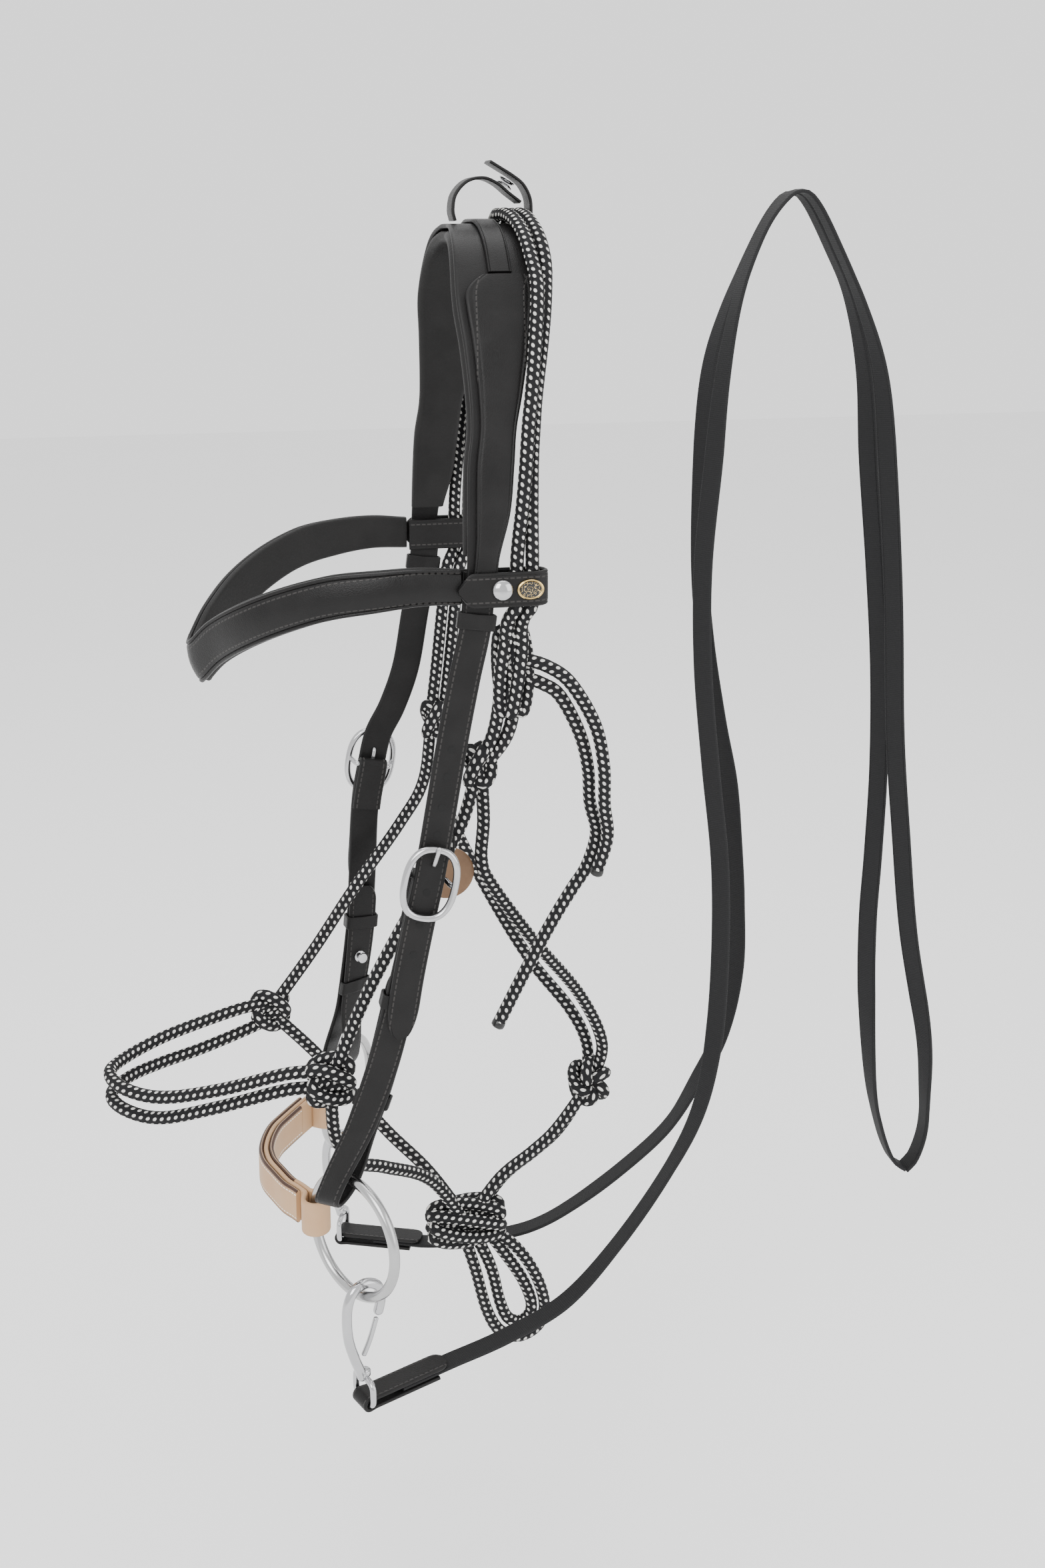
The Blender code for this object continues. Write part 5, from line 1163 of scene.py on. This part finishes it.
class MakeRopes(Maker, bpy.types.Operator):
    """Make the braided ropes, the knots and the loop for a lead"""
    bl_idname = "halter.ropes"
    bl_label = "Ropes and knots"

    def make(self, sizes, colours):
        radius = sizes.rope / 2 * 0.985
        routes = {"rope_crown_front": crown_route(STRAND_FRONT, -0.00405),
                  "rope_crown_rear": crown_route(STRAND_REAR, 0.00405)}
        routes.update({name: spline(points, 0.0011) for name, points in ROPES.items()})
        made = {name: self.knot(name, radius) for name in KNOTS}
        for name, path in routes.items():
            tail = "tail" in name
            rope = sweep("piece_" + name, path, radius, rope_material(), braid=0.06,
                         nodes=(name,))
            if tail:
                tip = unit(path[-1] - path[-4])
                turned("piece_tip_" + name, [(0.0001, -0.0035), (0.0036, -0.0034),
                                             (0.0039, -0.0020), (0.0038, -0.0002),
                                             (0.0026, 0.0008), (0.0001, 0.0010)],
                       path[-1], tip, shared("melted tip", lambda: Finish(
                           "melted tip", (0.004, 0.004, 0.004), 0.25).material))

    def knot(self, name, radius):
        """A rope wound on an ellipsoid: p turns about its axis while it passes q times from
        end to end, its distance from the axis being 0.62 + 0.38 cos(q t)."""
        centre, half, axis, (p, q) = KNOTS[name]
        reach = np.maximum(np.array(half) - radius, 0.003)
        t = np.linspace(0, 2 * math.pi, 420, endpoint=False)
        around = 0.62 + 0.38 * np.cos(q * t)
        flat = [around * np.cos(p * t), around * np.sin(p * t), np.sin(q * t)]
        order = {"Z": (0, 1, 2), "X": (2, 0, 1), "Y": (1, 2, 0)}[axis]
        path = np.stack([flat[k] for k in order], 1) * reach + centre
        path = resample(np.vstack([path, path[:1]]), 0.0011)[:-1]
        pieces = [sweep("piece_" + name, path, radius, rope_material(), closed=True, braid=0.06,
                        nodes=(name,))]
        for strand, (owner, route) in STRANDS.items():
            if owner == name:
                pieces.append(sweep("piece_" + strand, spline(route, 0.0011), radius,
                                    rope_material(), braid=0.06))
        return pieces


class MakeTag(Maker, bpy.types.Operator):
    """Make the plain leather tag that hangs from the near cheek rope, and its thong"""
    bl_idname = "halter.tag"
    bl_label = "Tag"

    def make(self, sizes, colours):
        made = Finish("tag leather", tuple(colours.tag), 0.55)
        grain = made.noise(160.0, 4.0)
        made.colour(made.blend(grain, tuple(colours.tag),
                               tuple(c * 0.55 for c in colours.tag)))
        made.rough(0.45 + 0.25 * grain)
        made.bump(grain, 0.25, 0.0003)
        r = sizes.tag / 2
        centre = np.array((-0.0365, -0.0525 + 0.001, -0.3515))
        turned("piece_tag", [(0.0001, 0.0), (r - 0.0006, 0.0), (r, 0.0004), (r, 0.0016),
                             (r - 0.0006, 0.002), (r - 0.0018, 0.0019), (0.0001, 0.0019)],
               centre, (0, -1, 0), made.material, "tag", ("leather_tag",), sides=72)
        path = spline(TAG_THONG + TAG_THONG[:1], 0.0006)[:-1]
        thong = sweep("piece_thong", path, 0.0007, plain_leather(), sides=10, closed=True,
                      body="tag")


class MakeStage(Maker, bpy.types.Operator):
    """Make the plain pale floor, the soft studio lights and the camera"""
    bl_idname = "halter.stage"
    bl_label = "Stage"

    def make(self, sizes, colours):
        mesh = bpy.data.meshes.new("floor")
        x = np.array((-6.0, 6.0, 6.0, -6.0))
        y = np.array((-6.0, -6.0, 6.0, 6.0))
        mesh.from_pydata(np.stack([x, y, x * 0 - 0.80], 1).tolist(), [], [(0, 1, 2, 3)])
        floor = bpy.data.objects.new("floor", mesh)
        bpy.context.scene.collection.objects.link(floor)
        made = Finish("pale floor", (0.93, 0.93, 0.93), 0.8)
        made.colour(made.blend(made.noise(3.0), (0.93, 0.93, 0.93), (0.91, 0.91, 0.91)))
        mesh.materials.append(made.material)
        world = bpy.data.worlds.new("studio")
        world.use_nodes = True
        world.node_tree.nodes["Background"].inputs[0].default_value = (1, 1, 1, 1)
        world.node_tree.nodes["Background"].inputs[1].default_value = 1.5
        bpy.context.scene.world = world
        for name, place, power, wide in (("key", (-1.1, -1.5, 0.9), 34, 1.4),
                                         ("fill", (1.5, -1.2, 0.2), 16, 1.6),
                                         ("top", (0.1, 0.4, 1.6), 22, 1.8)):
            light = bpy.data.lights.new(name, "AREA")
            light.energy, light.size = power, wide
            lamp = bpy.data.objects.new(name, light)
            lamp.location = place
            aim = Vector((0, 0, -0.3)) - Vector(place)
            lamp.rotation_euler = aim.to_track_quat("-Z", "Y").to_euler()
            bpy.context.scene.collection.objects.link(lamp)
        data = bpy.data.cameras.new("view")
        data.lens, data.sensor_fit, data.sensor_height = 40, "VERTICAL", 36
        data.shift_y = -0.16
        camera = bpy.data.objects.new("view", data)
        camera.location = (-0.2079, -0.9781, 0.010)
        forward = Vector((math.cos(math.radians(10)) * math.sin(math.radians(13.074)),
                          math.cos(math.radians(10)) * math.cos(math.radians(13.074)),
                          -math.sin(math.radians(10))))
        camera.rotation_euler = forward.to_track_quat("-Z", "Y").to_euler()
        bpy.context.scene.collection.objects.link(camera)
        bpy.context.scene.camera = camera


class HalterPanel(bpy.types.Panel):
    """Sizes, colours and the operators that make each part"""
    bl_idname = "VIEW3D_PT_halter"
    bl_label = "Rope halter"
    bl_space_type = "VIEW_3D"
    bl_region_type = "UI"
    bl_category = "Halter"

    def draw(self, context):
        for group in settings():
            for name in group.bl_rna.properties.keys():
                if name not in ("rna_type", "name"):
                    self.layout.prop(group, name)
        for maker in MAKERS:
            self.layout.operator(maker.bl_idname)


MAKERS = (MakeHeadpiece, MakeRopeKeeper, MakeBrowband, MakeCheeks, MakeNoseband, MakeReins,
          MakeRopes, MakeTag, MakeStage)
CLASSES = (HalterSizes, HalterColours, *MAKERS, HalterPanel)


def register():
    for item in CLASSES:
        bpy.utils.register_class(item)
    bpy.types.Scene.halter_sizes = PointerProperty(type=HalterSizes)
    bpy.types.Scene.halter_colours = PointerProperty(type=HalterColours)


def unregister():
    del bpy.types.Scene.halter_sizes
    del bpy.types.Scene.halter_colours
    for item in reversed(CLASSES):
        bpy.utils.unregister_class(item)


def main():
    register()
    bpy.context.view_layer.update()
    for maker in MAKERS:
        getattr(bpy.ops.halter, maker.bl_idname.split(".")[1])()


if __name__ == "__main__":
    main()
